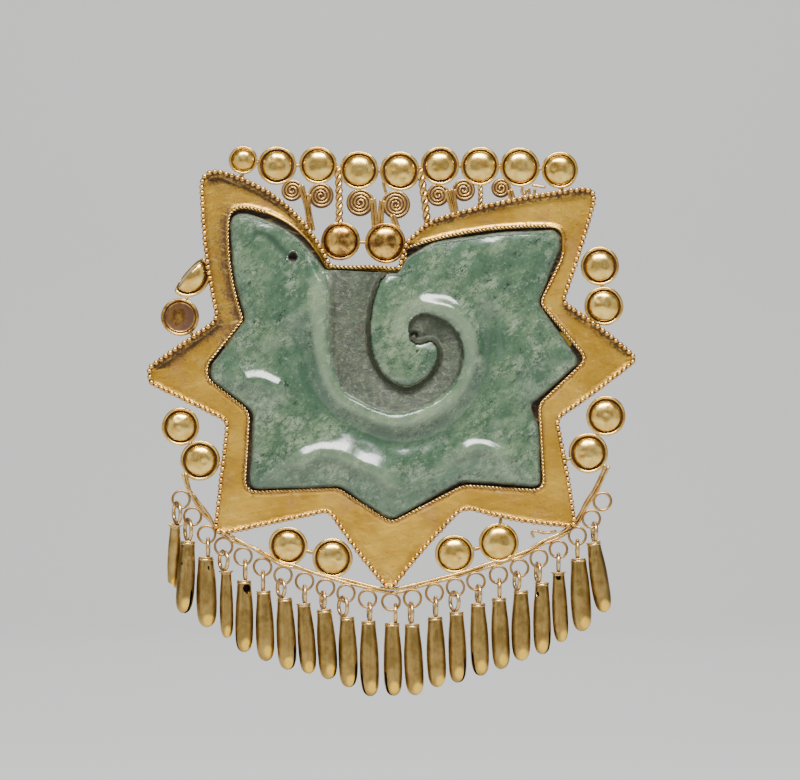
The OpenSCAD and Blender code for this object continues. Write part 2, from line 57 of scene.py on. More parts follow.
# Columns of an outline: x, z, cut of the rounded corner, outward bow of the edge that follows
RIM = [
    (-38.4, 7.6, 4.0, 4.4), (-12.4, -12.2, 1.0, -0.2), (1.0, -12.8, 1.0, 0), (2.6, -7.4, 1.0, 0),
    (7.2, -3.2, 2.0, 1.0), (41.0, 3.6, 3.4, 0.4), (34.0, -19.4, 1.4, 0.5), (49.0, -30.8, 1.8, 0.3),
    (32.8, -42.8, 1.6, 0.2), (36.6, -64.4, 1.2, 0.7), (14.2, -60.5, 2.0, -0.5), (-0.6, -77.4, 1.8, 0.4),
    (-12.8, -61.2, 1.4, 0), (-35.8, -66.2, 2.6, 0), (-33.2, -43.2, 1.6, 0), (-48.8, -35.6, 1.0, 0),
    (-48.9, -32.4, 1.0, 0), (-35.2, -22.8, 1.6, 0.9),
]
OPENING = [
    (-32.6, -0.4, 3.0, 3.4), (-13.4, -12.8, 0.8, 0), (1.4, -13.4, 0.6, 0), (2.6, -8.8, 0.8, 1.5),
    (33.8, -4.6, 2.4, 0), (33.8, -10.2, 1.4, 0), (29.2, -19.6, 1.4, 0), (38.6, -30.8, 2.0, 0),
    (29.0, -39.8, 1.6, 0), (30.0, -57.0, 2.4, 0), (14.2, -55.9, 1.6, 0), (-0.4, -63.4, 1.6, 0),
    (-11.0, -56.5, 1.4, 0), (-29.6, -57.3, 2.6, 0), (-28.6, -41.2, 2.0, 0), (-37.1, -34.6, 1.0, 0),
    (-37.1, -32.0, 1.0, 0), (-29.9, -23.0, 0.8, 1.3),
]
# Corners of the rim and of the opening that face each other: all but one of each
RIM_CORNERS = [i for i in range(19) if i != 4]
OPENING_CORNERS = [i for i in range(19) if i != 5]
# Points of an outline for every corner and for every edge, and the largest share of an edge that a corner takes
CORNER, EDGE = 8, 12
CORNER_MOST = 0.45
STONE = [
    (-32.2, -1.6, 2.8, 2.8), (-13.8, -13.3, 0.6, 0), (1.1, -13.9, 0.6, 0), (2.8, -10.6, 0.8, 0),
    (7.4, -7.9, 1.6, 0.6), (32.8, -5.2, 1.8, 0), (33.3, -8.6, 1.0, 0), (28.7, -19.6, 1.2, 0),
    (37.2, -31.4, 1.4, 0), (27.2, -40.0, 1.0, 0), (28.9, -44.6, 1.2, 0), (29.4, -56.2, 1.8, 0),
    (13.6, -55.0, 1.2, 0), (-0.4, -62.9, 1.6, 0), (-10.6, -56.0, 1.2, 0), (-28.6, -56.7, 2.2, 0),
    (-27.6, -41.3, 1.6, 0), (-36.1, -34.8, 0.8, 0), (-36.2, -32.2, 0.8, 0), (-29.2, -22.9, 1.0, 1.0),
]


def unit(v):
    return v / np.linalg.norm(v, axis=-1, keepdims=True)


def left(v):
    return np.stack([-v[..., 1], v[..., 0]], -1)


def smooth(t):
    t = np.clip(t, 0, 1)
    return t * t * (3 - 2 * t)


def quarter(t):
    """A quarter of a circle, which rises from 0 at 0 to 1 at 1."""
    return np.sqrt(1 - (1 - np.clip(t, 0, 1)) ** 2)


def angles(count):
    """Even steps round a circle."""
    return np.arange(count) * 2 * math.pi / count


def arc(low, high, count):
    """Even steps from one angle to another, given in degrees."""
    return np.radians(np.linspace(low, high, count))


def turned(u, v, angle):
    return u * math.cos(angle) - v * math.sin(angle), u * math.sin(angle) + v * math.cos(angle)


def heading(path, closed=True):
    """The direction of a path at each of its points."""
    return unit(np.roll(path, -1, 0) - np.roll(path, 1, 0) if closed else np.gradient(path, axis=0))


def lengths(line):
    """How far along a line each of its points lies."""
    return np.concatenate([[0], np.cumsum(np.linalg.norm(np.diff(line, axis=0), axis=1))])


def laid(line, depth):
    """The points (x, z) of a line, laid at one depth or at a depth for each."""
    return np.column_stack([line[:, 0], np.broadcast_to(depth, len(line)), line[:, 1]])


def in_box(line, x0, x1, z0, z1=math.inf):
    return (line[:, 0] > x0) & (line[:, 0] < x1) & (line[:, 1] > z0) & (line[:, 1] < z1)


def quad(a, c, b, t):
    return (1 - t) ** 2 * a + 2 * t * (1 - t) * c + t * t * b


def control(a, b, bow):
    return (a + b) / 2 + 2 * bow * left(unit(b - a))


def moved(rows, off):
    """The rows of an outline moved outward by off."""
    n = len(rows)
    xy = [np.array(r[:2], float) for r in rows]
    out, cuts = [], []
    for i in range(n):
        u = unit(xy[i] - control(xy[i - 1], xy[i], rows[i - 1][3]))
        v = unit(control(xy[i], xy[(i + 1) % n], rows[i][3]) - xy[i])
        out.append(xy[i] + off * (left(u) + left(v)) / (1 + u @ v))
        cuts.append(max(0.2, rows[i][2] - off * (u[0] * v[1] - u[1] * v[0]) / (1 + u @ v)))
    bows = []
    for i in range(n):
        j = (i + 1) % n
        mid = (xy[i] + xy[j]) / 2 + (rows[i][3] + off) * left(unit(xy[j] - xy[i]))
        bows.append((mid - (out[i] + out[j]) / 2) @ left(unit(out[j] - out[i])))
    return out, cuts, bows


def outline(rows, off=0.0):
    """Points of an outline moved outward by off, the same number for every corner and every edge."""
    xy, cuts, bows = moved(rows, off)
    n = len(xy)
    pts = []
    for i in range(n):
        a, p, b = xy[i - 1], xy[i], xy[(i + 1) % n]
        c0, c1 = control(a, p, bows[i - 1]), control(p, b, bows[i])
        t0 = min(CORNER_MOST, cuts[i] / np.linalg.norm(b - p))
        t1 = 1 - min(CORNER_MOST, cuts[(i + 1) % n] / np.linalg.norm(b - p))
        start = quad(a, c0, p, 1 - min(CORNER_MOST, cuts[i] / np.linalg.norm(p - a)))
        end = quad(p, c1, b, t0)
        pts += [quad(start, p, end, k / CORNER) for k in range(CORNER)]
        pts += [quad(p, c1, b, t0 + (t1 - t0) * k / EDGE) for k in range(EDGE)]
    return np.array(pts)


def resample(pts, pitch, closed=True):
    """Points at an even pitch along a line, as near to pitch as its length allows."""
    line = np.vstack([pts, pts[:1]]) if closed else pts
    run = lengths(line)
    count = max(2, round(run[-1] / pitch))
    at = np.linspace(0, run[-1], count + 1)[: count if closed else None]
    return np.stack([np.interp(at, run, line[:, k]) for k in range(line.shape[1])], 1)


def spline(rows, steps=6):
    """A smooth curve through the rows of a table, in all their columns."""
    p = np.array(rows, float)
    n = len(p)
    out = []
    for i in range(n - 1):
        a, b, c, d = p[max(i - 1, 0)], p[i], p[i + 1], p[min(i + 2, n - 1)]
        for k in range(steps):
            t = k / steps
            out.append((2 * b + t * (c - a) + t * t * (2 * a - 5 * b + 4 * c - d)
                        + t ** 3 * (3 * b - a - 3 * c + d)) / 2)
    out.append(p[-1])
    return np.array(out)


# Points nearer than this are one (in metres)
WELD = 2e-7


class Soup:
    """Points in millimetres as (x, depth, z), faces, and marks that say where a surface is soiled or rubbed bright,
    and where painted shade or a painted highlight lies.
    """

    def __init__(self):
        self.points, self.faces, self.marks, self.count = [], [], [], 0

    def add(self, points, faces, mark=0.0):
        points = np.asarray(points, float).reshape(-1, 3)
        faces = faces.tolist() if isinstance(faces, np.ndarray) else faces
        self.points.append(points)
        self.faces += [[i + self.count for i in f] for f in faces]
        self.marks.append(np.broadcast_to(np.asarray(mark, float), (len(points),)))
        self.count += len(points)

    def object(self, name, material, sharp=80, slot="gold"):
        mesh = bpy.data.meshes.new(name)
        mesh.from_pydata((np.concatenate(self.points) * (0.001, -0.001, 0.001)).tolist(), [], self.faces)
        mark = mesh.attributes.new("mark", "FLOAT", "POINT")
        mark.data.foreach_set("value", np.concatenate(self.marks).astype(np.float32))
        bm = bmesh.new()
        bm.from_mesh(mesh)
        bmesh.ops.remove_doubles(bm, verts=bm.verts, dist=WELD)
        bmesh.ops.recalc_face_normals(bm, faces=bm.faces)
        bm.to_mesh(mesh)
        bm.free()
        mesh.shade_smooth()
        mesh.set_sharp_from_angle(angle=math.radians(sharp))
        mesh.materials.append(material)
        piece = bpy.data.objects.new(name, mesh)
        bpy.context.scene.collection.objects.link(piece)
        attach(piece, "root")
        return piece


def grid_faces(rows, cols, wrap_rows=False, wrap_cols=True):
    """Quads of a grid of points, row after row."""
    i = np.arange(rows if wrap_rows else rows - 1)[:, None]
    j = np.arange(cols if wrap_cols else cols - 1)[None, :]
    i2, j2 = (i + 1) % rows, (j + 1) % cols
    return np.stack([i * cols + j, i * cols + j2, i2 * cols + j2, i2 * cols + j], -1).reshape(-1, 4)


def capped_faces(rows, cols):
    """Quads of a grid that is closed round, and fans at its ends to two points that come after it."""
    faces = grid_faces(rows, cols).tolist()
    last, end = (rows - 1) * cols, rows * cols
    for j in range(cols):
        k = (j + 1) % cols
        faces += [[j, k, end], [last + j, last + k, end + 1]]
    return faces


def tube(soup, path, radius, sides=8, closed=False, ref=(0, 1, 0), mark=0.0, core=None, side_shade_and_grime=0.0):
    """A round wire along a path of (x, depth, z), darkened with painted shade and soiling on the side of its core, and
    with painted shade and soiling on its sides beside its front.

    ref is a direction that the path never takes.
    """
    path = np.asarray(path, float)
    radius = np.broadcast_to(np.asarray(radius, float), len(path))
    if not closed:
        # A shorter and thinner step at each end
        tips = [path[i] + unit(path[i] - path[j]) * radius[i] * 0.5 for i, j in ((0, 1), (-1, -2))]
        path = np.vstack([tips[:1], path, tips[1:]])
        core = None if core is None else np.vstack([core[:1], core, core[-1:]])
        radius = np.concatenate([radius[:1] * 0.55, radius, radius[-1:] * 0.55])
    tangent = heading(path, closed)
    side = unit(np.cross(tangent, np.asarray(ref, float)))
    up = np.cross(side, tangent)
    a = angles(sides)[None, :, None]
    rings = path[:, None] + radius[:, None, None] * (np.cos(a) * side[:, None] + np.sin(a) * up[:, None])
    if core is not None:
        # Painted shade and soiling where each strand turns towards the core
        far = np.linalg.norm(rings - core[:, None], axis=2)
        mark = mark + 0.9 * ((far.max() - far) / (far.max() - far.min())) ** 1.4
    if side_shade_and_grime:
        # Painted shade and soiling on the sides that turn away from the front
        front = (rings[..., 1] - path[:, None, 1]) / radius[:, None]
        mark = mark + side_shade_and_grime * smooth((0.9 - front) / 0.9)
    marks = np.broadcast_to(mark, rings.shape[:2]).ravel()
    if closed:
        soup.add(rings, grid_faces(len(path), sides, wrap_rows=True), marks)
    else:
        points = np.vstack([rings.reshape(-1, 3), path[:1], path[-1:]])
        soup.add(points, capped_faces(len(path), sides), np.append(marks, marks[[0, -1]]))


def twist(soup, path, strand, reach, pitch, mark=0.0, sides=6):
    """Two strands wound round each other along an open path of (x, depth, z), in 8 steps for each turn."""
    line = resample(path, pitch / 8, False)
    step = heading(line, False)
    side = unit(np.cross(step, (0, 1, 0)))
    up = np.cross(side, step)
    for phase in (0, math.pi):
        a = (2 * math.pi * np.arange(len(line)) / 8 + phase)[:, None]
        tube(soup, line + reach * (np.cos(a) * side + np.sin(a) * up), strand, sides, mark=mark, core=line, side_shade_and_grime=0.85)


def lathe(profile, segments):
    """Points and faces of a closed profile of (radius, height) turned about the height's axis; both ends lie on it."""
    a = angles(segments)
    body = np.array(profile[1:-1])
    rings = np.stack([body[:, :1] * np.cos(a), body[:, :1] * np.sin(a), np.repeat(body[:, 1:], segments, 1)], -1)
    pts = np.vstack([rings.reshape(-1, 3), [[0, 0, profile[0][1]], [0, 0, profile[-1][1]]]])
    return pts, capped_faces(len(body), segments)


# Materials


class Nodes:
    """A short way of writing a material's node tree. Sizes of textures are in millimetres."""

    def __init__(self, name):
        self.material = bpy.data.materials.new(name)
        self.material.use_nodes = True
        self.tree = self.material.node_tree
        self.shader = self.tree.nodes["Principled BSDF"]
        self.place = self.mapped(self.node("TexCoord", {}, "Object"), Scale=(1000, 1000, 1000))

    def set(self, node, socket, value):
        target = node.inputs[socket]
        if isinstance(value, bpy.types.NodeSocket):
            self.tree.links.new(value, target)
        else:
            target.default_value = (*value, 1) if target.type == "RGBA" else value

    def node(self, kind, inputs, out=0, **options):
        """Adds a node with its options and inputs, and gives one of its outputs."""
        node = self.tree.nodes.new("ShaderNode" + kind)
        for option, value in options.items():
            setattr(node, option, value)
        for socket, value in inputs.items():
            self.set(node, socket, value)
        return node.outputs[out]

    def mapped(self, vector, **values):
        return self.node("Mapping", {"Vector": vector, **values}, "Vector")

    def noise(self, size, detail=4, rough=0.5, stretch=(1, 1, 1), shift=0.0, turn=0):
        """Noise whose features are about size millimetres across, turned about the depth axis by turn degrees."""
        place = self.mapped(self.place, Rotation=(0, math.radians(turn), 0)) if turn else self.place
        place = self.mapped(place, Scale=tuple(s / size for s in stretch), Location=(shift, shift * 1.7, shift * 0.6))
        return self.node("TexNoise", {"Vector": place, "Scale": 1, "Detail": detail, "Roughness": rough}, "Fac")

    def ramp(self, value, low, high, start=0.0, end=1.0):
        inputs = {"Value": value, "From Min": low, "From Max": high, "To Min": start, "To Max": end}
        return self.node("MapRange", inputs, "Result", interpolation_type="SMOOTHSTEP")

    def math(self, how, a, b=0.0):
        return self.node("Math", {0: a, 1: b}, operation=how)

    def times(self, a, b):
        return self.math("MULTIPLY", a, b)

    def plus(self, a, b):
        return self.math("ADD", a, b)

    def mix(self, factor, a, b):
        return self.node("Mix", {0: factor, 6: a, 7: b}, 2, data_type="RGBA")

    def layers(self, color, *rows):
        """A colour with others laid over it. A row holds the arguments of the ramp that shows it, and its colour."""
        for *shown, over in rows:
            color = self.mix(self.ramp(*shown), color, over)
        return color

    def mark(self, name="mark"):
        return self.node("Attribute", {}, "Fac", attribute_name=name)

    def bump(self, height, distance, strength, *below):
        """distance is the relief's height in millimetres, below is another bump's output."""
        inputs = {"Height": height, "Distance": distance / 1000, "Strength": strength}
        return self.node("Bump", inputs | {"Normal": normal for normal in below}, "Normal")

    def finish(self, **sockets):
        for socket, value in sockets.items():
            self.set(self.shader, socket.replace("_", " "), value)
        return self.material


def satin_gold():
    """Sheet gold. A mark of 1 is dark all over with soiling and painted shade, less is soiled in specks, and 2 is in
    painted deep shade.
    """
    m = Nodes("satin_gold")
    mark = m.mark()
    fine = m.noise(0.35, 5, 0.7)
    speck = m.times(m.noise(0.5, 6, 0.8, shift=3), 1.5)
    blot = m.times(m.noise(2.4, 5, 0.7, shift=6), 0.7)
    stain_and_shade = m.ramp(m.plus(m.plus(speck, blot), m.times(mark, 0.4)), 1.4, 1.55, 0, 0.92)
    color = m.layers(
        (0.7, 0.385, 0.045),
        (m.noise(9, 3), 0.35, 0.65, (0.94, 0.565, 0.085)),
        (m.noise(5, 4, 0.6, shift=9), 0.52, 0.68, 0, 0.5, (0.7, 0.35, 0.14)),
        (m.noise(3.4, 4, 0.65, shift=14), 0.55, 0.7, 0, 0.5, (0.95, 0.68, 0.2)),
        (mark, 0.25, 1.2, 0, 0.75, (0.26, 0.125, 0.035)),
    )
    color = m.mix(stain_and_shade, color, (0.05, 0.024, 0.009))
    color = m.layers(color, (mark, 1.4, 1.9, (0.03, 0.016, 0.007)))
    for size, shift, turn in ((1.1, 61, 12), (0.8, 67, -20)):
        streak = m.noise(size, 6, 0.75, (0.13, 1, 1), shift, turn)
        color = m.layers(color, (streak, 0.54, 0.66, 0, 0.32, (0.42, 0.21, 0.035)),
                         (streak, 0.32, 0.45, 0.42, 0, (1.0, 0.7, 0.17)))
    scratch = m.noise(0.2, 4, 0.65, stretch=(0.05, 1, 1.2), turn=8)
    rough = m.plus(m.ramp(fine, 0.3, 0.8, 0.27, 0.42), m.times(stain_and_shade, 0.2))
    relief = m.bump(m.noise(3.2, 2, shift=5), 0.4, 0.4, m.bump(scratch, 0.05, 0.7, m.bump(fine, 0.035, 0.6)))
    metal = m.times(m.ramp(stain_and_shade, 0, 1, 1, 0.4), m.ramp(mark, 1.4, 1.9, 1, 0.1))
    return m.finish(Base_Color=color, Metallic=metal, Roughness=rough, Normal=relief)


def bright_gold(name, light, dark, edge, stain, smooth):
    """Polished gold. Up to a mark of 0.6 it takes its edge's colour, a painted shade and dark reflection; at 1 it is
    stained all over, as soiling and as painted shade, and at 2 it is black, a painted deep shade.
    """
    m = Nodes(name)
    mark = m.mark()
    color = m.layers(light, (m.noise(1.8, 4, 0.6), 0.35, 0.65, dark), (mark, 0.1, 0.6, 0, 0.85, edge))
    speck = m.times(m.noise(0.55, 6, 0.75, shift=5), 1.2)
    blot = m.times(m.noise(1.5, 4, 0.6, shift=8), 0.6)
    stain_and_shade = m.ramp(m.plus(m.plus(speck, blot), mark), 1.2, 1.75, 0, 0.95)
    deep = m.ramp(mark, 1.2, 2.0)
    color = m.mix(deep, m.mix(stain_and_shade, color, stain), (0.012, 0.006, 0.003))
    rough = m.plus(m.times(m.noise(0.5, 4), 0.12), m.ramp(stain_and_shade, 0, 1, smooth, smooth + 0.25))
    relief = m.bump(m.noise(1.3, 3), 0.12, 0.4, m.bump(m.noise(0.22, 4), 0.012, 0.4))
    metal = m.times(m.ramp(stain_and_shade, 0, 1, 1, 0.3), m.ramp(deep, 0, 1, 1, 0))
    return m.finish(Base_Color=color, Metallic=metal, Roughness=rough, Normal=relief)


def bell_gold():
    """Mark 0 is the bell's wall, up to 1 a painted highlight at its end, 2 the cap and the bail (towards 3 in painted
    shade beside its front), -1 the inside, painted near black as shade.
    """
    m = Nodes("bell_gold")
    mark = m.mark()
    streak = m.noise(0.6, 4, 0.6, stretch=(1, 1, 0.1))
    color = m.layers(
        (0.3, 0.19, 0.052),
        (m.noise(2.4, 4, 0.6, shift=2), 0.35, 0.65, (0.48, 0.32, 0.1)),
        (streak, 0.45, 0.75, 0, 0.5, (0.28, 0.145, 0.045)),
        # A painted highlight near the end, the pale cap and bail, painted shade beside the bail's front, dark specks,
        # and the inside painted black as shade
        (mark, 0.08, 0.75, 0, 0.95, (1.0, 0.62, 0.085)),
        (mark, 1.2, 1.8, (0.74, 0.51, 0.21)),
        (mark, 2.1, 2.9, 0, 0.85, (0.16, 0.085, 0.03)),
        (m.noise(0.35, 5, 0.7, shift=8), 0.62, 0.72, 0, 0.7, (0.07, 0.035, 0.012)),
        (mark, -0.7, -0.1, 1, 0, (0.012, 0.007, 0.004)),
    )
    rough = m.plus(m.ramp(m.noise(0.6, 4), 0.3, 0.7, 0.29, 0.4), m.ramp(mark, 0, 0.8, 0, -0.06))
    relief = m.bump(streak, 0.03, 0.3, m.bump(m.noise(0.3, 4), 0.03, 0.5, m.bump(m.noise(1.8, 2), 0.1, 0.4)))
    return m.finish(Base_Color=color, Metallic=1.0, Roughness=rough, Normal=relief)


def jade():
    """Mark 0 is the polished face, 1 the channel's rough floor, 2 a soiled crevice in painted shade and -1 a dull,
    dark groove. A second attribute holds painted light on the swellings and painted shade in the hollows.
    """
    m = Nodes("jade")
    dirt_and_shade, painted_shading = m.mark(), m.mark("painted_shading")
    cloud = m.noise(10, 5, 0.6, (0.8, 1, 1.2), 4, 38)
    patch = m.noise(4, 6, 0.66, (0.8, 1, 1.2), 44, 42)
    grain = m.noise(1.9, 7, 0.74, (0.8, 1, 1.25), 11, 42)
    veil = m.noise(3.6, 6, 0.7, (0.8, 1, 1.2), 17, 30)
    speck = m.noise(1.2, 6, 0.74, (0.8, 1, 1.2), 23, 40)
    color = m.layers(
        (0.056, 0.107, 0.06),
        (cloud, 0.38, 0.6, (0.14, 0.2, 0.112)),
        (patch, 0.44, 0.6, 0, 0.75, (0.036, 0.078, 0.043)),
        (veil, 0.5, 0.64, 0, 0.7, (0.215, 0.27, 0.175)),
        (grain, 0.5, 0.64, 0, 0.65, (0.026, 0.06, 0.034)),
        (m.noise(0.7, 5, 0.7, shift=29), 0.56, 0.7, 0, 0.5, (0.29, 0.33, 0.25)),
    )
    for size, shift, turn, near in ((3.2, 53, 50, veil), (2.0, 59, 28, cloud)):
        line = m.math("ABSOLUTE", m.math("SUBTRACT", m.noise(size, 6, 0.68, (0.7, 1, 1.3), shift, turn), 0.5))
        vein = m.times(m.ramp(line, 0.004, 0.022, 1, 0), m.ramp(near, 0.44, 0.56, 0.15, 0.85))
        color = m.mix(vein, color, (0.018, 0.046, 0.026))
    dark = m.times(m.ramp(speck, 0.55, 0.61), m.ramp(m.plus(patch, veil), 1.02, 1.12))
    color = m.mix(m.times(dark, 0.92), color, (0.005, 0.02, 0.012))
    floor = m.layers(
        (0.012, 0.019, 0.006),
        (m.noise(3.0, 6, 0.75, shift=31), 0.4, 0.6, (0.042, 0.055, 0.022)),
        (m.noise(1.0, 6, 0.75, shift=37), 0.52, 0.62, 0, 0.8, (0.12, 0.125, 0.085)),
        (m.noise(1.7, 5, 0.7, shift=47), 0.6, 0.7, 0, 0.6, (0.12, 0.055, 0.03)),
    )
    color = m.layers(
        color,
        # Painted light on the swellings and painted shade in the hollows and grooves
        (painted_shading, 0, 1, 0, 0.5, (0.21, 0.27, 0.165)),
        (painted_shading, -1, 0, 0.55, 0, (0.03, 0.068, 0.038)),
        (painted_shading, -2, -0.7, 0.8, 0, (0.02, 0.042, 0.023)),
        (dirt_and_shade, -1.0, -0.6, 0.85, 0, (0.02, 0.042, 0.023)),
        (dirt_and_shade, 0.1, 0.8, 0, 0.9, floor),
        # Soiled crevices in painted shade
        (dirt_and_shade, 1.1, 2.0, 0, 0.92, (0.028, 0.023, 0.011)),
    )
    rough = m.plus(m.ramp(dirt_and_shade, 0, 1, 0.11, 0.5), m.times(m.noise(0.7, 4), 0.1))
    rough = m.plus(rough, m.ramp(dirt_and_shade, -0.8, 0, 0.2, 0))
    relief = m.bump(m.noise(0.5, 4, 0.6), 0.02, 0.3, m.bump(m.noise(2.6, 3), 0.14, 0.35))
    relief = m.bump(m.times(m.noise(1.3, 5, 0.7, shift=41), dirt_and_shade), 0.7, 0.6, relief)
    return m.finish(
        Base_Color=color, Roughness=rough, Normal=relief, IOR=1.62,
        Subsurface_Weight=0.1, Subsurface_Scale=0.002, Subsurface_Radius=(0.5, 1.0, 0.7),
    )


SATIN, BELL, JADE = satin_gold(), bell_gold(), jade()
# Light and dark gold, the colour of painted shade and dark reflection at its edges, the stain, and how rough it is
BRIGHT, WIRE, AGED, DULL = (bright_gold(*row) for row in (
    ("bright_gold", (0.93, 0.67, 0.2), (0.72, 0.43, 0.09), (0.24, 0.105, 0.035), (0.07, 0.026, 0.01), 0.19),
    ("wire_gold", (0.85, 0.55, 0.17), (0.6, 0.34, 0.09), (0.22, 0.1, 0.035), (0.08, 0.032, 0.013), 0.2),
    ("aged_gold", (0.88, 0.55, 0.13), (0.24, 0.11, 0.03), (0.22, 0.095, 0.03), (0.06, 0.022, 0.009), 0.22),
    ("dull_wire_gold", (0.54, 0.31, 0.1), (0.36, 0.19, 0.055), (0.17, 0.075, 0.025), (0.06, 0.025, 0.01), 0.26),
))

# The setting: a dished tray between the beaded rim and the lip round the stone


def matched():
    """The rim and the opening as point rows that face each other, with what moves each point by 1 mm."""
    sides = []
    for rows, corners in ((RIM, RIM_CORNERS), (OPENING, OPENING_CORNERS)):
        pts = outline(rows)
        pts = np.column_stack([pts, outline(rows, 1) - pts])
        # The middle of each corner
        middles = [i * (CORNER + EDGE) + CORNER // 2 for i in corners]
        stretches = []
        for i, j in zip(middles, middles[1:]):
            part = pts[np.arange(i, j + 1) % len(pts)]
            run = lengths(part[:, :2])
            stretches.append((part, run / run[-1]))
        sides.append(stretches)
    done = []
    for (a, run_a), (b, run_b) in zip(*sides):
        # The side with fewer points takes the steps of the other one
        if len(a) < len(b):
            a = np.stack([np.interp(run_b, run_a, a[:, k]) for k in range(4)], 1)
        elif len(b) < len(a):
            b = np.stack([np.interp(run_a, run_b, b[:, k]) for k in range(4)], 1)
        done.append(np.hstack([a[:-1], b[:-1]]))
    return np.split(np.vstack(done), 4, axis=1)


# Rows of the tray's points where its floor begins and where the lip begins
FLOOR_ROW, LIP_ROW = 9, 15


def tray():
    rim, rim_out, lip, lip_out = matched()
    width = np.linalg.norm(lip - rim, axis=1)
    wall = np.minimum(0.35, 0.3 * width)
    edge = np.minimum(0.6, 0.35 * width)
    room = np.clip(width - wall - edge, 0, None)
    # It is dished under the upper edges of the rim, and flatter above the lower ones
    under = np.clip(rim_out[:, 1] * 1.6 - 0.3, 0, 1)
    near = np.minimum(0.25 + 0.95 * under, 0.3 * room)
    far = np.minimum(0.7, 0.2 * room)
    wide = np.clip((room - 0.3) / 1.6, 0, 1)
    floor = FLOOR * wide + NARROW_FLOOR * (1 - wide)

    def rails(pts, out, rows):
        return [laid(pts + out * np.broadcast_to(off, width.shape)[:, None], depth) for off, depth, _ in rows]

    # How far outward, how deep, and the mark: from the back over the rim to the floor, and from there over the lip
    # The marks under the beads and on the wall beneath them are soiling and painted shade, and 2 on the lip's inner
    # wall is painted deep shade
    down = [(0.05, TRAY_BACK, 0.2), (0.17, TRAY_BACK + 0.12, 0.2), (0.17, RIM_TOP - 0.35, 0.5),
            (0.05, RIM_TOP - 0.05, 1.7), (-0.12, RIM_TOP, 1.7), (-wall, RIM_TOP - 0.2, 1.2)]
    down += [(-wall - off * near, low * floor + (1 - low) * RIM_TOP, mark)
             for off, low, mark in ((0.05, 0.45, 1.0), (0.3, 0.78, 0.7), (0.65, 0.94, 0.4), (1, 1, 0.5))]
    up = [(edge + far, floor + 0.06, 0.3), (edge + 0.3 * far, 0.75 * floor + 0.25 * LIP_TOP, 0.7),
          (edge, LIP_TOP - 0.15, 0.8), (0.7 * edge, LIP_TOP, 0.5), (0.08, LIP_TOP, 0.8), (0, LIP_TOP - 0.15, 2),
          (0, TRAY_BACK + 0.1, 2), (0.1, TRAY_BACK, 0.3)]
    on_rim, on_lip = rails(rim, rim_out, down), rails(lip, lip_out, up)
    across = [on_rim[-1] * (1 - t) + on_lip[0] * t for t in (0.25, 0.5, 0.75)]
    pts = np.stack(on_rim + across + on_lip)
    marks = [row[2] for row in down] + [0.1] * len(across) + [row[2] for row in up]
    marks = np.repeat(np.array(marks, float)[:, None], len(rim), 1)
    # Soiling and painted shade lie under the upper edges of the rim, more to the left, and soiling lies over the left
    # horn down to the waist below it
    inner = slice(FLOOR_ROW, LIP_ROW)
    left_more = 0.3 + 0.9 * smooth((2 - rim[:, 0]) / 12)
    marks[inner] += under * left_more * np.linspace(0.9, 0.0, LIP_ROW - FLOOR_ROW)[:, None] ** 1.7
    marks[FLOOR_ROW - 3:FLOOR_ROW] += 0.6 * under
    x, z = pts[inner, :, 0], pts[inner, :, 2]
    horn = np.clip((-27.5 - x) / 2, 0, 1) * np.clip((z + 29) / 5, 0, 1) * np.clip((4 - z) / 9, 0, 1)
    marks[inner] += horn * np.linspace(0.4, 0.9, LIP_ROW - FLOOR_ROW)[:, None]
    soup = Soup()
    soup.add(pts, grid_faces(len(pts), len(rim), wrap_rows=True), marks.ravel())
    # The seat behind the stone's edge, and two plain straps
    hole, out = outline(OPENING), outline(OPENING, 1) - outline(OPENING)
    # The seat's face is painted deep shade, a dark sheet behind the gaps round the stone
    seat = [(0.5, 1.75, 0.3), (0.5, 2.1, 2), (-1.6, 2.15, 2), (-1.7, 1.95, 2), (-1.6, 1.75, 0.3)]
    soup.add(np.stack([laid(hole + out * off, depth) for off, depth, _ in seat]),
             grid_faces(len(seat), len(hole), wrap_rows=True), np.repeat([mark for *_, mark in seat], len(hole)))
    strap(soup, -36, 36, -28.4, -25.2, 1.5, 2.2)
    strap(soup, -3.4, -0.2, -66, -13, 1.56, 2.14)
    return soup.object("setting", SATIN, 45)


# Radius of a strap's corners, and how far its edges are softened
STRAP_CORNER, SOFT = 0.6, 0.2


def strap(soup, x0, x1, z0, z1, d0, d1):
    """A flat strip with softened edges, lying in the plane of the tray."""
    points = []
    for inset, depth in ((SOFT, d0), (0, d0 + SOFT), (0, d1 - SOFT), (SOFT, d1)):
        r = STRAP_CORNER - inset
        for x, sx, z, sz, start in ((x1, 1, z1, 1, 0), (x0, -1, z1, 1, 90), (x0, -1, z0, -1, 180),
                                    (x1, 1, z0, -1, 270)):
            cx, cz = x - sx * STRAP_CORNER, z - sz * STRAP_CORNER
            points += [(cx + r * math.cos(a), depth, cz + r * math.sin(a)) for a in arc(start, start + 90, 4)]
    n = len(points) // 4
    faces = grid_faces(4, n).tolist() + [list(range(n)), list(range(4 * n - 1, 3 * n - 1, -1))]
    soup.add(points, faces, 0.4)


BEAD_R, BEAD_PITCH = 0.55, 1.15


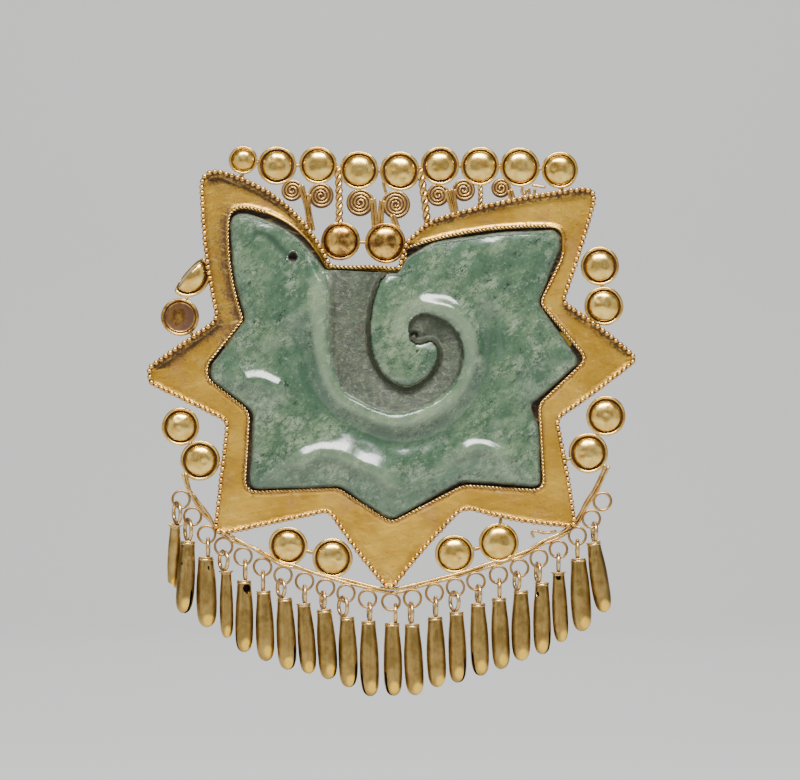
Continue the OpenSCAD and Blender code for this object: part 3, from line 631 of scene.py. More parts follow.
def bead_border():
    line = resample(outline(RIM, -0.2), BEAD_PITCH)
    # The upper edge of the notch has a rope in the place of its beads
    line = line[~in_box(line, -11.6, 0.7, -14, -11.5)]
    ball = bmesh.new()
    bmesh.ops.create_icosphere(ball, subdivisions=2, radius=1)
    verts = np.array([v.co[:] for v in ball.verts])
    faces = [[v.index for v in f.verts] for f in ball.faces]
    ball.free()
    soup = Soup()
    for x, z in line:
        r = BEAD_R + rng.uniform(-0.03, 0.01)
        place = [at + rng.uniform(-0.05, 0.05) for at in (x, BEAD_MID, z)]
        # Painted shade on each bead's sides and back, and a little soiling on some beads
        marks = np.clip(0.5 - 0.9 * verts[:, 1], 0, 1) + rng.choice((0, 0, 0, 0.2))
        soup.add(verts * (r, r * 0.92, r) + place, faces, marks)
    return soup.object("bead_border", WIRE)


NOTCH_ROPE = [(-13.6, 3.6, -11.3), (-12.4, 3.7, -12.2), (-9, 3.75, -12.5), (-4, 3.7, -12.4), (0.8, 3.75, -12.7),
              (2.2, 3.7, -11.6), (2.5, 3.6, -9.4)]


def rope_border():
    soup = Soup()
    line = resample(outline(OPENING, 0.2), 0.2)
    # Two stretches at the top are hidden, and the notch has a rope of its own
    hidden = (in_box(line, -25.6, -14.4, -13) | in_box(line, 31.2, math.inf, -9.5)
              | in_box(line, -14.0, 2.2, -14.5))
    start = int(np.argmax(hidden))
    line, hidden = np.roll(line, -start, 0), np.roll(hidden, -start)
    cuts = np.flatnonzero(np.diff(hidden)) + 1
    for run, off in zip(np.split(line, cuts), np.split(hidden, cuts)):
        if not off[0] and len(run) > 4:
            twist(soup, laid(run, ROPE_MID), 0.2, 0.18, 1.5, mark=0.12)
    twist(soup, spline(NOTCH_ROPE, 8), 0.23, 0.2, 1.7, mark=0.1)
    return soup.object("rope_border", WIRE)


# Bosses

# Columns of BOSSES: x, z, radius, radius of the dome as a share of it
BOSSES = [
    (-30.0, 9.0, 2.9, 0.79), (-23.2, 7.9, 3.9, 0.77), (-15.0, 8.0, 3.8, 0.81), (-6.8, 7.0, 3.9, 0.8),
    (1.4, 6.8, 4.0, 0.79), (9.4, 7.9, 3.9, 0.775), (17.4, 7.8, 3.9, 0.81), (25.4, 7.6, 4.0, 0.81),
    (33.4, 7.0, 3.7, 0.82), (-10.5, -7.2, 3.9, 0.83), (-1.5, -7.6, 4.1, 0.83), (-40.0, -15.2, 3.8, 0.78),
    (-42.6, -22.4, 3.8, 0.78), (-42.5, -44.3, 3.8, 0.78), (-38.6, -51.1, 4.0, 0.78), (41.4, -12.2, 3.9, 0.78),
    (42.2, -20.2, 3.9, 0.8), (42.6, -42.2, 4.0, 0.79), (39.1, -49.6, 4.0, 0.78), (-21.0, -68.2, 3.9, 0.78),
    (-12.1, -70.6, 4.0, 0.8), (12.3, -69.8, 3.9, 0.82), (21.2, -67.6, 4.0, 0.84),
]
FIRST, NOTCH, BENT, BROKEN = 0, (9, 10), 11, 12
# Height of the domes, radius of the wire round them, and how each was bent: waves round it and their size
DOME, BOSS_WIRE = 1.5, 0.3
BENDS = ((2, 0.022), (3, 0.014), (5, 0.008))
# The bent boss: its middle, the direction across the fold, and how far it is folded
BENT_PLACE, BENT_ACROSS, FOLD = np.array([-40.5, 0, -14.2]), np.array([-0.76, 0.65]), math.radians(72)


def boss_profile(r, share, broken):
    """(radius, depth, mark) from the middle of the front, round the rim and back to the middle behind."""
    dome = r * share
    base = BOSS_BACK + 0.34
    rise, rise_behind = (-0.2, -0.15) if broken else (DOME, DOME)
    # The marks paint shade and dark reflection on the dome's foot, in the gutter and on both sides of the ring's wire
    front = [(dome * math.cos(a), base + rise * math.sin(a), 0.42 * (1 - smooth(a / 0.9))) for a in arc(90, 0, 18)]
    ring = [(r - BOSS_WIRE + BOSS_WIRE * math.cos(a), BOSS_BACK + 0.5 + BOSS_WIRE * math.sin(a),
             0.12 + 0.7 * max(0, a - 2.3) + 0.45 * smooth((0.9 - a) / 0.9)) for a in arc(190, -60, 12)]
    back = [(r - 0.2, BOSS_BACK, 0.4), (dome - 0.25, BOSS_BACK, 0.4)]
    back += [((dome - 0.3) * math.cos(a), BOSS_BACK + rise_behind * math.sin(a), 0.6) for a in arc(8, 90, 8)]
    gap = r - 2 * BOSS_WIRE - dome
    gutter = [(dome + 0.25 * gap, base - 0.1, 0.75), (dome + 0.8 * gap, base - 0.08, 0.8)]
    return front + gutter + ring + back


def boss(soup, index):
    x, z, r, share = BOSSES[index]
    profile = boss_profile(r, share, index == BROKEN)
    segments = 56
    pts, faces = lathe([row[:2] for row in profile], segments)
    marks = np.concatenate([np.repeat([p[2] for p in profile[1:-1]], segments), [profile[0][2], profile[-1][2]]])
    # Each was made by hand: a rim that isn't quite round, dents and a little tilt
    a = np.arctan2(pts[:, 1], pts[:, 0])
    rad = np.hypot(pts[:, 0], pts[:, 1])
    out = np.clip((rad - r * 0.7) / (r * 0.3), 0, 1)
    bent = out * sum(size * np.sin(k * a + rng.uniform(0, 6)) for k, size in BENDS)
    # The first one is the highest, and stays within the size of the solids
    pts[:, :2] *= 1 + (np.minimum(bent, 0) - 0.003 if index == FIRST else 0.5 * bent)[:, None]
    for _ in range(3):
        cx, cy = rng.uniform(-1.6, 1.6), rng.uniform(-1.6, 1.6)
        depth = rng.uniform(0.04, 0.14) * (1.5 if index in NOTCH else 1)
        dent = np.exp(-((pts[:, 0] - cx) ** 2 + (pts[:, 1] - cy) ** 2) / 0.5)
        pts[:, 2] -= depth * dent * (pts[:, 2] > BOSS_BACK + 0.6)
    tilt_x, tilt_z = rng.uniform(-0.03, 0.03), rng.uniform(-0.03, 0.03)
    pts[:, 2] += tilt_x * pts[:, 0] + tilt_z * pts[:, 1]
    if index in NOTCH:
        marks = np.clip(0.7 * marks + 0.16, 0, 1)
    if index == BROKEN:
        middle = np.exp(-((pts[:, 0] + 0.5) ** 2 / 4.5 + (pts[:, 1] - 0.2) ** 2 / 7.0))
        marks = np.where(rad < r * 0.72, 1.2 - 1.05 * middle, marks)
    place = np.array([x, 0, z])
    pts = pts[:, [0, 2, 1]]
    if index == BENT:
        # The upper left half is folded back along a line that rises to the right
        place = BENT_PLACE
        over = np.clip(pts[:, ::2] @ BENT_ACROSS - 0.3, 0, None)
        pts[:, ::2] -= (over * (1 - math.cos(FOLD)))[:, None] * BENT_ACROSS
        pts[:, 1] -= over * math.sin(FOLD) * 0.9
        # It is also drawn out along that line
        along = left(BENT_ACROSS)
        pts[:, ::2] += 0.2 * (pts[:, ::2] @ along)[:, None] * along
    soup.add(pts + place, faces, marks)


# Bosses that touch their next one
LINKED = (*range(8), 9, 11, 13, 15, 17, 19, 21)
# Solder from a boss to the rim: x and z of both ends
TIES = [(-30.0, 6.6, -30.4, 5.2), (-35.2, -51.6, -33.4, -52.0), (35.6, -50.6, 34.0, -51.2),
        (21.4, -64.4, 21.6, -62.4), (-40.8, -25.1, -39.9, -26.4), (33.6, 3.8, 33.8, 2.7)]


def bosses():
    clean, aged, ties = Soup(), Soup(), Soup()
    for i in range(len(BOSSES)):
        boss(aged if i in (*NOTCH, BROKEN) else clean, i)
    for i in LINKED:
        a, b = np.array(BOSSES[i][:2]), np.array(BOSSES[i + 1][:2])
        u = unit(b - a)
        blob(ties, a + u * (BOSSES[i][2] - 0.25), b - u * (BOSSES[i + 1][2] - 0.25))
    for row in TIES:
        blob(ties, np.array(row[:2]), np.array(row[2:]))
    return (clean.object("bosses", BRIGHT, 60), aged.object("soiled_bosses", AGED, 60),
            ties.object("solder_links", WIRE))


def blob(soup, a, b):
    """A short lump of solder between two points in the plane of the bosses."""
    t = np.linspace(0, 1, 7)
    swell = 0.28 + 0.14 * np.sin(math.pi * t) * rng.uniform(0.4, 1.2)
    tube(soup, laid(a + (b - a) * t[:, None], BOSS_BACK + 0.45), swell, 10, mark=0.35)


# Wire work

# Columns of SCROLLS: x, z, outer radius, turns, where the outer end lies (degrees), way it winds inwards
SCROLLS = [
    (-20.2, 2.9, 2.3, 2.9, 15, 1), (-14.4, 1.9, 2.7, 3.4, 190, -1), (-6.6, 0.5, 2.9, 3.7, 0, 1),
    (0.6, 0.1, 3.0, 3.9, 180, -1), (9.0, 2.0, 2.4, 3.0, 10, 1), (14.2, 3.0, 2.4, 3.0, 190, -1),
    (21.6, 3.4, 2.1, 2.7, -30, 1),
]
TAILS = [
    [(-18.4, 3.9), (-18.0, 2.4), (-17.3, 0.2), (-16.2, -5.0)],
    [(-16.8, 2.1), (-17.1, 0.6), (-16.7, -3.6)],
    [(-4.0, 1.2), (-3.9, 0), (-3.6, -4.4)],
    [(-2.1, 0.8), (-2.3, -0.4), (-2.6, -4.4)],
    [(-0.1, -2.0), (0.8, -4.5)],
    [(11.0, 2.9), (11.3, 1.4), (12.4, -2.2)],
    [(12.1, 3.1), (12.0, 1.8), (12.7, -2.2)],
    [(23.4, 2.9), (23.6, 2.2), (24.0, 1.0)],
]
# Columns of STRUTS: both ends, and the thickness of a strand
STRUTS = [(-11.0, 7.4, -10.8, -3.8, 0.43), (5.4, 7.2, 6.8, -3.4, 0.46), (17.4, 4.4, 17.4, -0.4, 0.31)]
# Loose ends and bits of broken wire
BITS = [
    [(-2.0, 4.6), (-1.4, 2.4)], [(26.0, 3.8), (25.8, 2.6), (26.4, 2.2), (26.8, 3.2)],
    [(27.2, 3.4), (27.4, 2.2), (28.2, 1.9), (28.4, 3.2)], [(28.0, 4.0), (30.4, 3.6)],
    [(28.1, -66.5), (27.8, -65.6), (28.6, -65.2), (30.4, -65.6), (32.6, -65.3)],
]


SCROLL_WIRE = 0.2


def scrolls():
    soup = Soup()
    for x, z, r, turns, start, way in SCROLLS:
        t = np.linspace(0, 1, int(turns * 36))
        a = np.radians(start + way * 360 * turns * t)
        q = r - SCROLL_WIRE - (r - SCROLL_WIRE - 0.25) * t
        coil = np.column_stack([x + q * np.cos(a), z + q * np.sin(a)])
        tube(soup, laid(coil, WIRE_MID + 0.25 * t + 0.03 * np.sin(5 * a)), SCROLL_WIRE, mark=0.05, side_shade_and_grime=0.5)
        # The backing of the coil keeps its turns together
        disc = [(0, -0.25), (r * 0.5, -0.25), (r - 0.2, -0.22), (r - 0.14, -0.1), (r * 0.5, 0.02), (0, 0.08)]
        pts, faces = lathe(disc, 32)
        soup.add(pts[:, [0, 2, 1]] + (x, WIRE_MID, z), faces, 1.0)
    for tail in TAILS:
        line = spline(tail)
        for off in (-0.32, 0.32):
            tube(soup, laid(line + left(heading(line, False)) * off, WIRE_MID), 0.34, 10, mark=0.05, side_shade_and_grime=0.5)
    for bit in BITS:
        tube(soup, laid(spline(bit), WIRE_MID), 0.3, mark=0.1, side_shade_and_grime=0.4)
    return soup.object("scrolls", WIRE)


def struts():
    soup = Soup()
    t = np.linspace(0, 1, 12)
    for x0, z0, x1, z1, strand in STRUTS:
        line = np.column_stack([x0 + (x1 - x0) * t + 0.12 * np.sin(3 * t), z0 + (z1 - z0) * t])
        twist(soup, laid(line, WIRE_MID), strand, 0.85 * strand, 7 * strand, sides=8)
    return soup.object("twisted_struts", WIRE)


BOW = [
    (-41.8, -53.8), (-40.8, -56.8), (-39.4, -59.2), (-37.1, -62.3), (-35.2, -64.8), (-32.4, -66.6), (-27.9, -68.6),
    (-22.8, -71.5), (-18.6, -72.6), (-13.0, -74.3), (-7.6, -75.7), (-0.6, -77.2), (5.4, -75.9), (11.4, -74.4),
    (17.6, -72.6), (21.8, -71.2), (26.0, -69.8), (29.6, -67.8), (33.3, -66.1), (36.4, -63.8), (38.4, -60.4),
    (40.8, -56.6), (42.8, -52.2),
]
# Loops under the bow, left to right: x, z. The last one is empty
LOOPS = [
    (-42.4, -58.9), (-40.1, -62.3), (-37.3, -65.9), (-33.9, -68.3), (-30.0, -70.3), (-26.1, -72.4), (-22.0, -74.1),
    (-17.7, -75.3), (-13.5, -76.6), (-9.4, -77.7), (-5.1, -78.8), (-0.4, -79.4), (3.9, -78.7), (8.3, -77.6),
    (12.5, -76.5), (16.6, -75.3), (21.1, -74.0), (25.3, -72.6), (29.2, -70.7), (33.1, -68.9), (36.9, -66.2),
    (39.7, -62.8), (41.9, -59.3),
]
LOOP_R, LOOP_WIRE = 1.72, 0.25


def bow():
    soup = Soup()
    line = spline(BOW, 8)
    step = heading(line, False)
    t = np.arange(len(line))
    # The two wires lie side by side on the right, and are loosely wound round each other on the left
    turn = np.cumsum(smooth((-4 - line[:, 0]) / 8)) * 0.16
    for side, phase in ((1, 0.0), (-1, 2.0)):
        across = side * 0.31 * np.cos(turn) + 0.06 * np.sin(t * 0.23 + phase) + 0.05 * np.sin(t * 0.51 + phase)
        depth = WIRE_MID + 0.03 + side * (0.08 + 0.2 * np.sin(turn)) + 0.05 * np.sin(t * 0.3 + phase)
        wire = 0.32 + 0.03 * np.sin(t * 0.9 + phase)
        tube(soup, laid(line + left(step) * across[:, None], depth), wire, 10, mark=0.05, side_shade_and_grime=0.5)
    rings = Soup()
    a = angles(40)
    for x, z in LOOPS:
        squash, turn = rng.uniform(-0.03, 0.03), rng.uniform(0, 3)
        q = LOOP_R * (1 + squash * np.cos(2 * (a - turn)))
        path = laid(np.column_stack([x + q * np.cos(a), z + q * np.sin(a)]), LOOP_MID)
        # The last loop is empty, brighter and a little thicker
        last = (x, z) == LOOPS[-1]
        tube(rings, path, LOOP_WIRE + 0.03 * last, closed=True, mark=-0.3 * last, side_shade_and_grime=0.5)
    return soup.object("bow", WIRE), rings.object("bell_loops", DULL)


# Bells

# Columns of BELLS: top x and z, tip x and z, radius, where the bail hangs beside its loop's middle,
# turn of the bail, turn of the slit's left end to the front, backward lean (turns and lean in degrees)
BELLS = [
    (-43.6, -63.8, -44.1, -77.8, 1.34, -0.8, 22, 0, 13), (-41.0, -67.3, -41.9, -81.9, 1.85, -0.9, 20, -40, -4),
    (-37.5, -70.4, -37.2, -84.7, 2.05, 0.3, 0, 4, 0), (-33.4, -73.2, -33.2, -86.9, 1.35, 0, 28, -8, 0),
    (-29.8, -75.1, -29.8, -89.7, 1.85, 0.4, 5, 24, 0), (-25.9, -77.2, -25.4, -91.5, 1.85, 0.1, 0, 5, 0),
    (-21.7, -78.6, -21.0, -93.2, 1.95, -0.4, 26, -34, 0), (-17.9, -79.7, -16.8, -94.0, 1.75, 0, 6, 12, 0),
    (-13.8, -80.9, -12.8, -95.1, 1.95, -0.5, 14, -26, 0), (-9.2, -82.4, -8.8, -96.7, 1.90, -0.6, 28, -34, 0),
    (-4.9, -83.2, -4.5, -98.5, 1.90, 0.4, 8, 34, 0), (-0.2, -83.6, 0.1, -98.4, 1.90, 0.9, 0, 38, 0),
    (3.8, -83.8, 4.5, -98.3, 1.95, -0.3, 8, 6, 0), (8.4, -82.4, 8.9, -96.7, 1.95, 0.2, 6, -5, 0),
    (12.7, -81.4, 13.0, -95.8, 1.85, -0.2, 26, -34, 0), (17.0, -79.7, 17.6, -94.4, 1.90, 0.5, 12, 36, 0),
    (21.2, -78.6, 21.7, -93.1, 1.85, 0.2, 0, -12, 0), (25.6, -77.1, 25.7, -91.4, 1.90, -0.5, 16, 10, 0),
    (29.8, -75.5, 29.9, -90.1, 1.80, -0.2, 12, -30, 0), (33.1, -73.4, 33.7, -87.7, 1.55, 0, 0, -15, 0),
    (37.1, -70.7, 37.9, -85.5, 2.05, 0, 0, -6, 0), (40.1, -67.4, 42.4, -81.7, 1.80, 0.6, 10, 10, 0),
]
BELL_FORM = [
    (0, 0.74), (0.12, 0.8), (0.3, 0.93), (0.5, 1), (0.68, 1), (0.82, 0.94), (0.91, 0.8), (0.965, 0.56), (1, 0.16),
]
CAP_R, CAP_T, BELL_WALL = 1.52, 0.4, 0.24
SLIT_HALF, SLIT_H = 0.34, 5.0
# Holes in bells, pressed in and painted black as shade: x beside the bell's axis and distance below its top, half
# width and half height
HOLES = {5: (0.54, 1.55, 0.55, 0.8), 19: (-0.9, 2.2, 0.22, 0.24), 20: (-0.1, 1.08, 0.42, 0.3),
         2: (-0.95, 4.7, 0.16, 0.18), 3: (0.65, 2.1, 0.16, 0.24)}
# The bell whose end has broken off, and the line of the break: distance below its top and slope
BROKEN_BELL, BREAK = 1, (12.6, 0.75)
BAIL_WIRE, BAIL_PLAY = 0.39, 0.16
# Steps round each half of a bell between its slits
SHARE = 20


def bell(index):
    number = index + 1
    x0, z0, x1, z1, r, beside, bail_turn, slit_turn, lean = BELLS[index]
    length = math.hypot(x1 - x0, z1 - z0)
    form = spline(BELL_FORM)
    s = form[:, 0]
    outer = r * form[:, 1]
    tall = length - CAP_T
    down = -CAP_T + 0.1 - (tall - 0.1) * s
    slit = SLIT_HALF * np.clip((SLIT_H - (1 - s) * tall) / 0.8, 0, 1) ** 0.5
    inner = np.maximum(outer - BELL_WALL, 0.02)
    keep = outer > slit * 1.05
    s, outer, inner, down, slit = (v[keep] for v in (s, outer, inner, down, slit))
    inner = np.maximum(inner, np.minimum(slit * 1.02, outer * 0.98))
    first = int(np.argmax(slit > 0)) - 1
    soup = Soup()
    seed = rng.uniform(0, 6)
    wobble = [rng.uniform(-0.05, 0.05) for _ in range(2)]
    # Where the painted highlight lies on the front near the end
    patch_x, patch_down = r * rng.uniform(0.05, 0.4), length - rng.uniform(1.5, 2.4)

    def ring(radius, half, k):
        angle = np.arcsin(np.clip(slit[k] / radius, 0, 1))
        a = angle + (math.pi - 2 * angle) * np.linspace(0, 1, SHARE + 1) + half * math.pi
        q = radius * (1 + 0.02 * np.sin(2 * a + seed) * math.sin(3 * s[k]) + 0.008 * np.sin(3 * a + 9 * s[k]))
        bend = math.sin(math.pi * s[k])
        x, y = turned(q * np.cos(a) + bend * wobble[0], q * np.sin(a) + bend * wobble[1], math.radians(slit_turn))
        return np.column_stack([x, y, np.full(SHARE + 1, down[k])])

    def wall(radii, half, rows):
        return np.vstack([ring(radii[k], half, k) for k in rows])

    def painted_glint(pts):
        """Marks of the bell's outside, with a painted highlight towards its end and black painted shade in its holes
        and broken end, and how deep its holes and dents go there.
        """
        x, y, d = pts[:, 0], pts[:, 1], -pts[:, 2]
        ahead = y < 0
        near = ((x - patch_x) / (0.5 * r)) ** 2 + ((d - patch_down) / 1.25) ** 2
        mark = 0.2 * np.clip((d / length - 0.8) / 0.15, 0, 1) + 0.75 * np.exp(-(near ** 1.5)) * ahead
        if number in HOLES:
            hx, hd, w, h = HOLES[number]
            far = np.sqrt(((x - hx) / w) ** 2 + ((d - hd) / h) ** 2)
            mark = np.where(ahead, mark - 2 * smooth((1.25 - far) / 0.3), mark)
            pts[:, 1] += np.where(ahead, 0.5 * smooth((1.1 - far) / 0.25) * min(1, w / 0.3), 0)
        if number == BROKEN_BELL:
            edge = BREAK[0] + BREAK[1] * x + 0.12 * np.sin(5 * x) + 0.1 * np.sin(9 * y)
            over = d > edge
            # The broken end is closed and painted black as shade
            mark = np.where(over, -1, mark)
            pts[:, 2] = np.where(over, -edge, pts[:, 2])
            pts[:, :2] *= np.where(over & (d - edge > 0.9), 0.6, 1)[:, None]
        return mark

    above, below = range(first + 1), range(first, len(s))
    for half in (0, 1):
        sheet = grid_faces(len(above), SHARE + 1, wrap_cols=False)
        pts = wall(outer, half, above)
        marks = painted_glint(pts)
        soup.add(pts, sheet, marks)
        soup.add(wall(inner, half, above), sheet, -1)
        # Beside the slits the two sheets are joined
        out = wall(outer, half, below)
        out_marks = painted_glint(out).reshape(-1, SHARE + 1)
        within = wall(inner, half, below).reshape(-1, SHARE + 1, 3)[:, ::-1]
        if number == BROKEN_BELL:
            within[..., 2] = np.maximum(within[..., 2], -(BREAK[0] + BREAK[1] * within[..., 0]) + 0.05)
        pts = np.concatenate([out.reshape(within.shape), within], 1)
        marks = np.concatenate([out_marks, np.full(out_marks.shape, -1.0)], 1).ravel()
        cols = 2 * (SHARE + 1)
        end = (len(below) - 1) * cols
        tip = [[end + k, end + k + 1, end + cols - 2 - k, end + cols - 1 - k] for k in range(SHARE)]
        soup.add(pts, grid_faces(len(below), cols).tolist() + tip, marks)
        # The rim at the top, inside the flange
        soup.add(np.vstack([ring(outer[0], half, 0), ring(inner[0], half, 0)]),
                 grid_faces(2, SHARE + 1, wrap_cols=False))
    neck = outer[0]
    cap = [(0, 0.05), (0.6, 0.04), (CAP_R - 0.3, 0.02), (CAP_R - 0.05, 0.0), (CAP_R, -0.1), (CAP_R - 0.04, -0.22),
           (CAP_R - 0.2, -0.28), (neck + 0.03, -0.36), (neck + 0.12, -0.5), (neck + 0.12, -0.62), (neck - 0.02, -0.74),
           (neck - 0.1, -0.7), (0, -0.5)]
    pts, faces = lathe(cap, 36)
    pts[:, 2] += 0.04 * np.sin(np.arctan2(pts[:, 1], pts[:, 0]) * 2 + seed) * np.hypot(pts[:, 0], pts[:, 1]) / CAP_R
    soup.add(pts, faces, 2)
    # Hung from its top: local (x, y, z) with -z along the bell, y away from the viewer
    for k, pts in enumerate(soup.points):
        x, y, z = pts.T
        y, z = turned(y, z, math.radians(lean))
        z, x = turned(z, x, math.atan2(x0 - x1, z0 - z1))
        soup.points[k] = np.column_stack([x + x0, LOOP_MID - y, z + z0])
    # The bail
    drop = math.sqrt(LOOP_R ** 2 - beside ** 2)
    top = LOOPS[index][1] - drop + (LOOP_WIRE + BAIL_PLAY + BAIL_WIRE) * LOOP_R / drop + BAIL_WIRE
    ring_r = (top - z0 + CAP_T / 2) / 2 - BAIL_WIRE
    turn = math.radians(bail_turn)
    a = angles(36)
    side = ring_r * np.cos(a)
    path = np.column_stack([LOOPS[index][0] + beside + side * math.sin(turn), LOOP_MID + side * math.cos(turn),
                            top - BAIL_WIRE - ring_r + ring_r * np.sin(a)])
    tube(soup, path, BAIL_WIRE, 10, True, ref=(math.cos(turn), -math.sin(turn), 0), mark=2, side_shade_and_grime=0.9)
    name = f"bell_{number:02d}"
    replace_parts(soup.object(name + "_worn", BELL, 50, "bell_gold"), name)


# The stone

# The channel's outer wall from the notch inwards, and the raised tongue inside it
OUTER_WALL = [
    (-13.6, -9.0), (-13.2, -13.4), (-13.0, -19.0), (-13.2, -25.0), (-12.4, -31.0), (-10.4, -36.6), (-6.8, -39.4),
    (-2.8, -41.2), (0.2, -41.8), (3.8, -41.3), (8.6, -39.2), (12.4, -35.8), (14.2, -30.4), (13.2, -26.0),
    (10.8, -23.4), (7.4, -21.9), (4.6, -22.1), (3.0, -23.6),
]
TONGUE = [
    (2.6, -9.0), (0.0, -12.4), (-1.8, -14.2), (-3.4, -17.4), (-4.5, -23.0), (-4.4, -28.0), (-3.2, -31.8),
    (-0.8, -34.8), (2.8, -36.3), (6.6, -34.4), (8.7, -31.4), (8.9, -28.9), (7.6, -27.3), (5.2, -27.8), (3.3, -27.0),
]
VALLEY = [
    (-19.0, -26.0), (-17.8, -32.0), (-15.6, -37.2), (-11.8, -41.6), (-8.0, -44.2), (-4.2, -46.0), (2.4, -47.4),
    (8.2, -46.2), (13.2, -43.0), (17.0, -36.6), (19.2, -29.5), (19.4, -23.0),
]
# The swells of the lobes beyond the valley, the saddle between them, and the whorl above the pit
LEFT_SWELL = [(-19.0, -51.6), (-16.0, -50.1), (-12.3, -49.6), (-7.5, -51.6), (-3.0, -53.4), (-0.5, -56.0)]
RIGHT_SWELL = [(13.6, -49.8), (16.1, -48.4), (18.8, -48.6), (21.0, -49.8), (22.4, -51.8), (23.0, -54.6)]
SADDLE = [(3.6, -48.0), (3.8, -52.0), (2.6, -57.0)]
WHORL = [(9.2, -21.2), (10.8, -20.9), (13.6, -22.4), (16.4, -26.0), (17.0, -31.0)]
LOBE = [(-28.8, -35.6), (-26.0, -35.5), (-23.4, -36.4)]
LOBE_DIP = [(-31.0, -30.4), (-25.0, -30.0), (-19.4, -28.6)]
HOOK = [(-27.4, -5.6), (-25.0, -6.1), (-23.4, -7.6), (-21.8, -9.3), (-20.4, -10.5)]
CURL = (7.8, -28.6)
CREASE = [(24.4, -9.4), (19.4, -12.8), (14.6, -16.2)]
# Drilled pits: x, z, radius, depth and height of the core left standing in the middle
PITS = [(-20.0, -10.5, 1.05, 1.5, 0), (4.2, -26.2, 1.0, 0.9, 0.7)]


def distance(points, line, closed=False):
    """How far each point lies from a line of points."""
    line = np.asarray(line, float)
    a = line if closed else line[:-1]
    b = np.roll(line, -1, 0) if closed else line[1:]
    best = np.full(len(points), math.inf)
    for p, q in zip(a, b):
        d = q - p
        t = np.clip(((points - p) @ d) / max(d @ d, 1e-12), 0, 1)
        best = np.minimum(best, ((points - p - t[:, None] * d) ** 2).sum(1))
    return np.sqrt(best)


def ridge(points, line, width):
    """1 on the smooth curve through a few points, and less beside it."""
    return np.exp(-((distance(points, spline(line)) / width) ** 2))


# Above this height the stone's relief is pressed together
ROUND_FROM = 4.35
# Uneven polish of the stone: waves over x and z, height and phase
WAVES = [(0.55, 0.4, 0.05, 0.3), (-0.38, 0.72, 0.05, 1.9), (0.95, -0.52, 0.03, 4.1), (1.3, 1.05, 0.018, 2.2)]


def inside(points, ring):
    """Whether each point lies inside a closed ring."""
    ring = np.asarray(ring, float)
    hit = np.zeros(len(points), bool)
    for p, q in zip(ring, np.roll(ring, -1, 0)):
        if p[1] != q[1]:
            hit ^= ((p[1] > points[:, 1]) != (q[1] > points[:, 1])) & (
                points[:, 0] < (q[0] - p[0]) * (points[:, 1] - p[1]) / (q[1] - p[1]) + p[0])
    return hit


# Step of the pillow's grid, and how often it is smoothed
PILLOW_STEP, PILLOW_ROUNDS = 0.5, 1200


def pillow(edge):
    """A soft swelling inside an outline, as a sampled field: its values and its low corner."""
    low = edge.min(0) - 2
    size = np.ceil((edge.max(0) + 2 - low) / PILLOW_STEP).astype(int)
    gx, gz = np.meshgrid(*(low[k] + PILLOW_STEP * np.arange(size[k]) for k in (0, 1)), indexing="ij")
    mask = inside(np.column_stack([gx.ravel(), gz.ravel()]), edge).reshape(gx.shape)
    u = np.zeros(gx.shape)
    for _ in range(PILLOW_ROUNDS):
        around = np.roll(u, 1, 0) + np.roll(u, -1, 0) + np.roll(u, 1, 1) + np.roll(u, -1, 1)
        u = np.where(mask, (around + PILLOW_STEP ** 2) / 4, 0)
    return u, low


def sample(field, points):
    u, low = field
    g = (points - low) / PILLOW_STEP
    i = np.clip(g.astype(int), 0, np.array(u.shape) - 2)
    (fx, fz), (ix, iz) = (g - i).T, i.T
    return ((u[ix, iz] * (1 - fx) + u[ix + 1, iz] * fx) * (1 - fz)
            + (u[ix, iz + 1] * (1 - fx) + u[ix + 1, iz + 1] * fx) * fz)


def channel(points):
    """The distances to the channel's outer wall and to its tongue, and whether a point lies between them."""
    outer, tongue = spline(OUTER_WALL), spline(TONGUE)
    return distance(points, outer), distance(points, tongue), inside(points, np.vstack([outer, tongue[::-1]]))


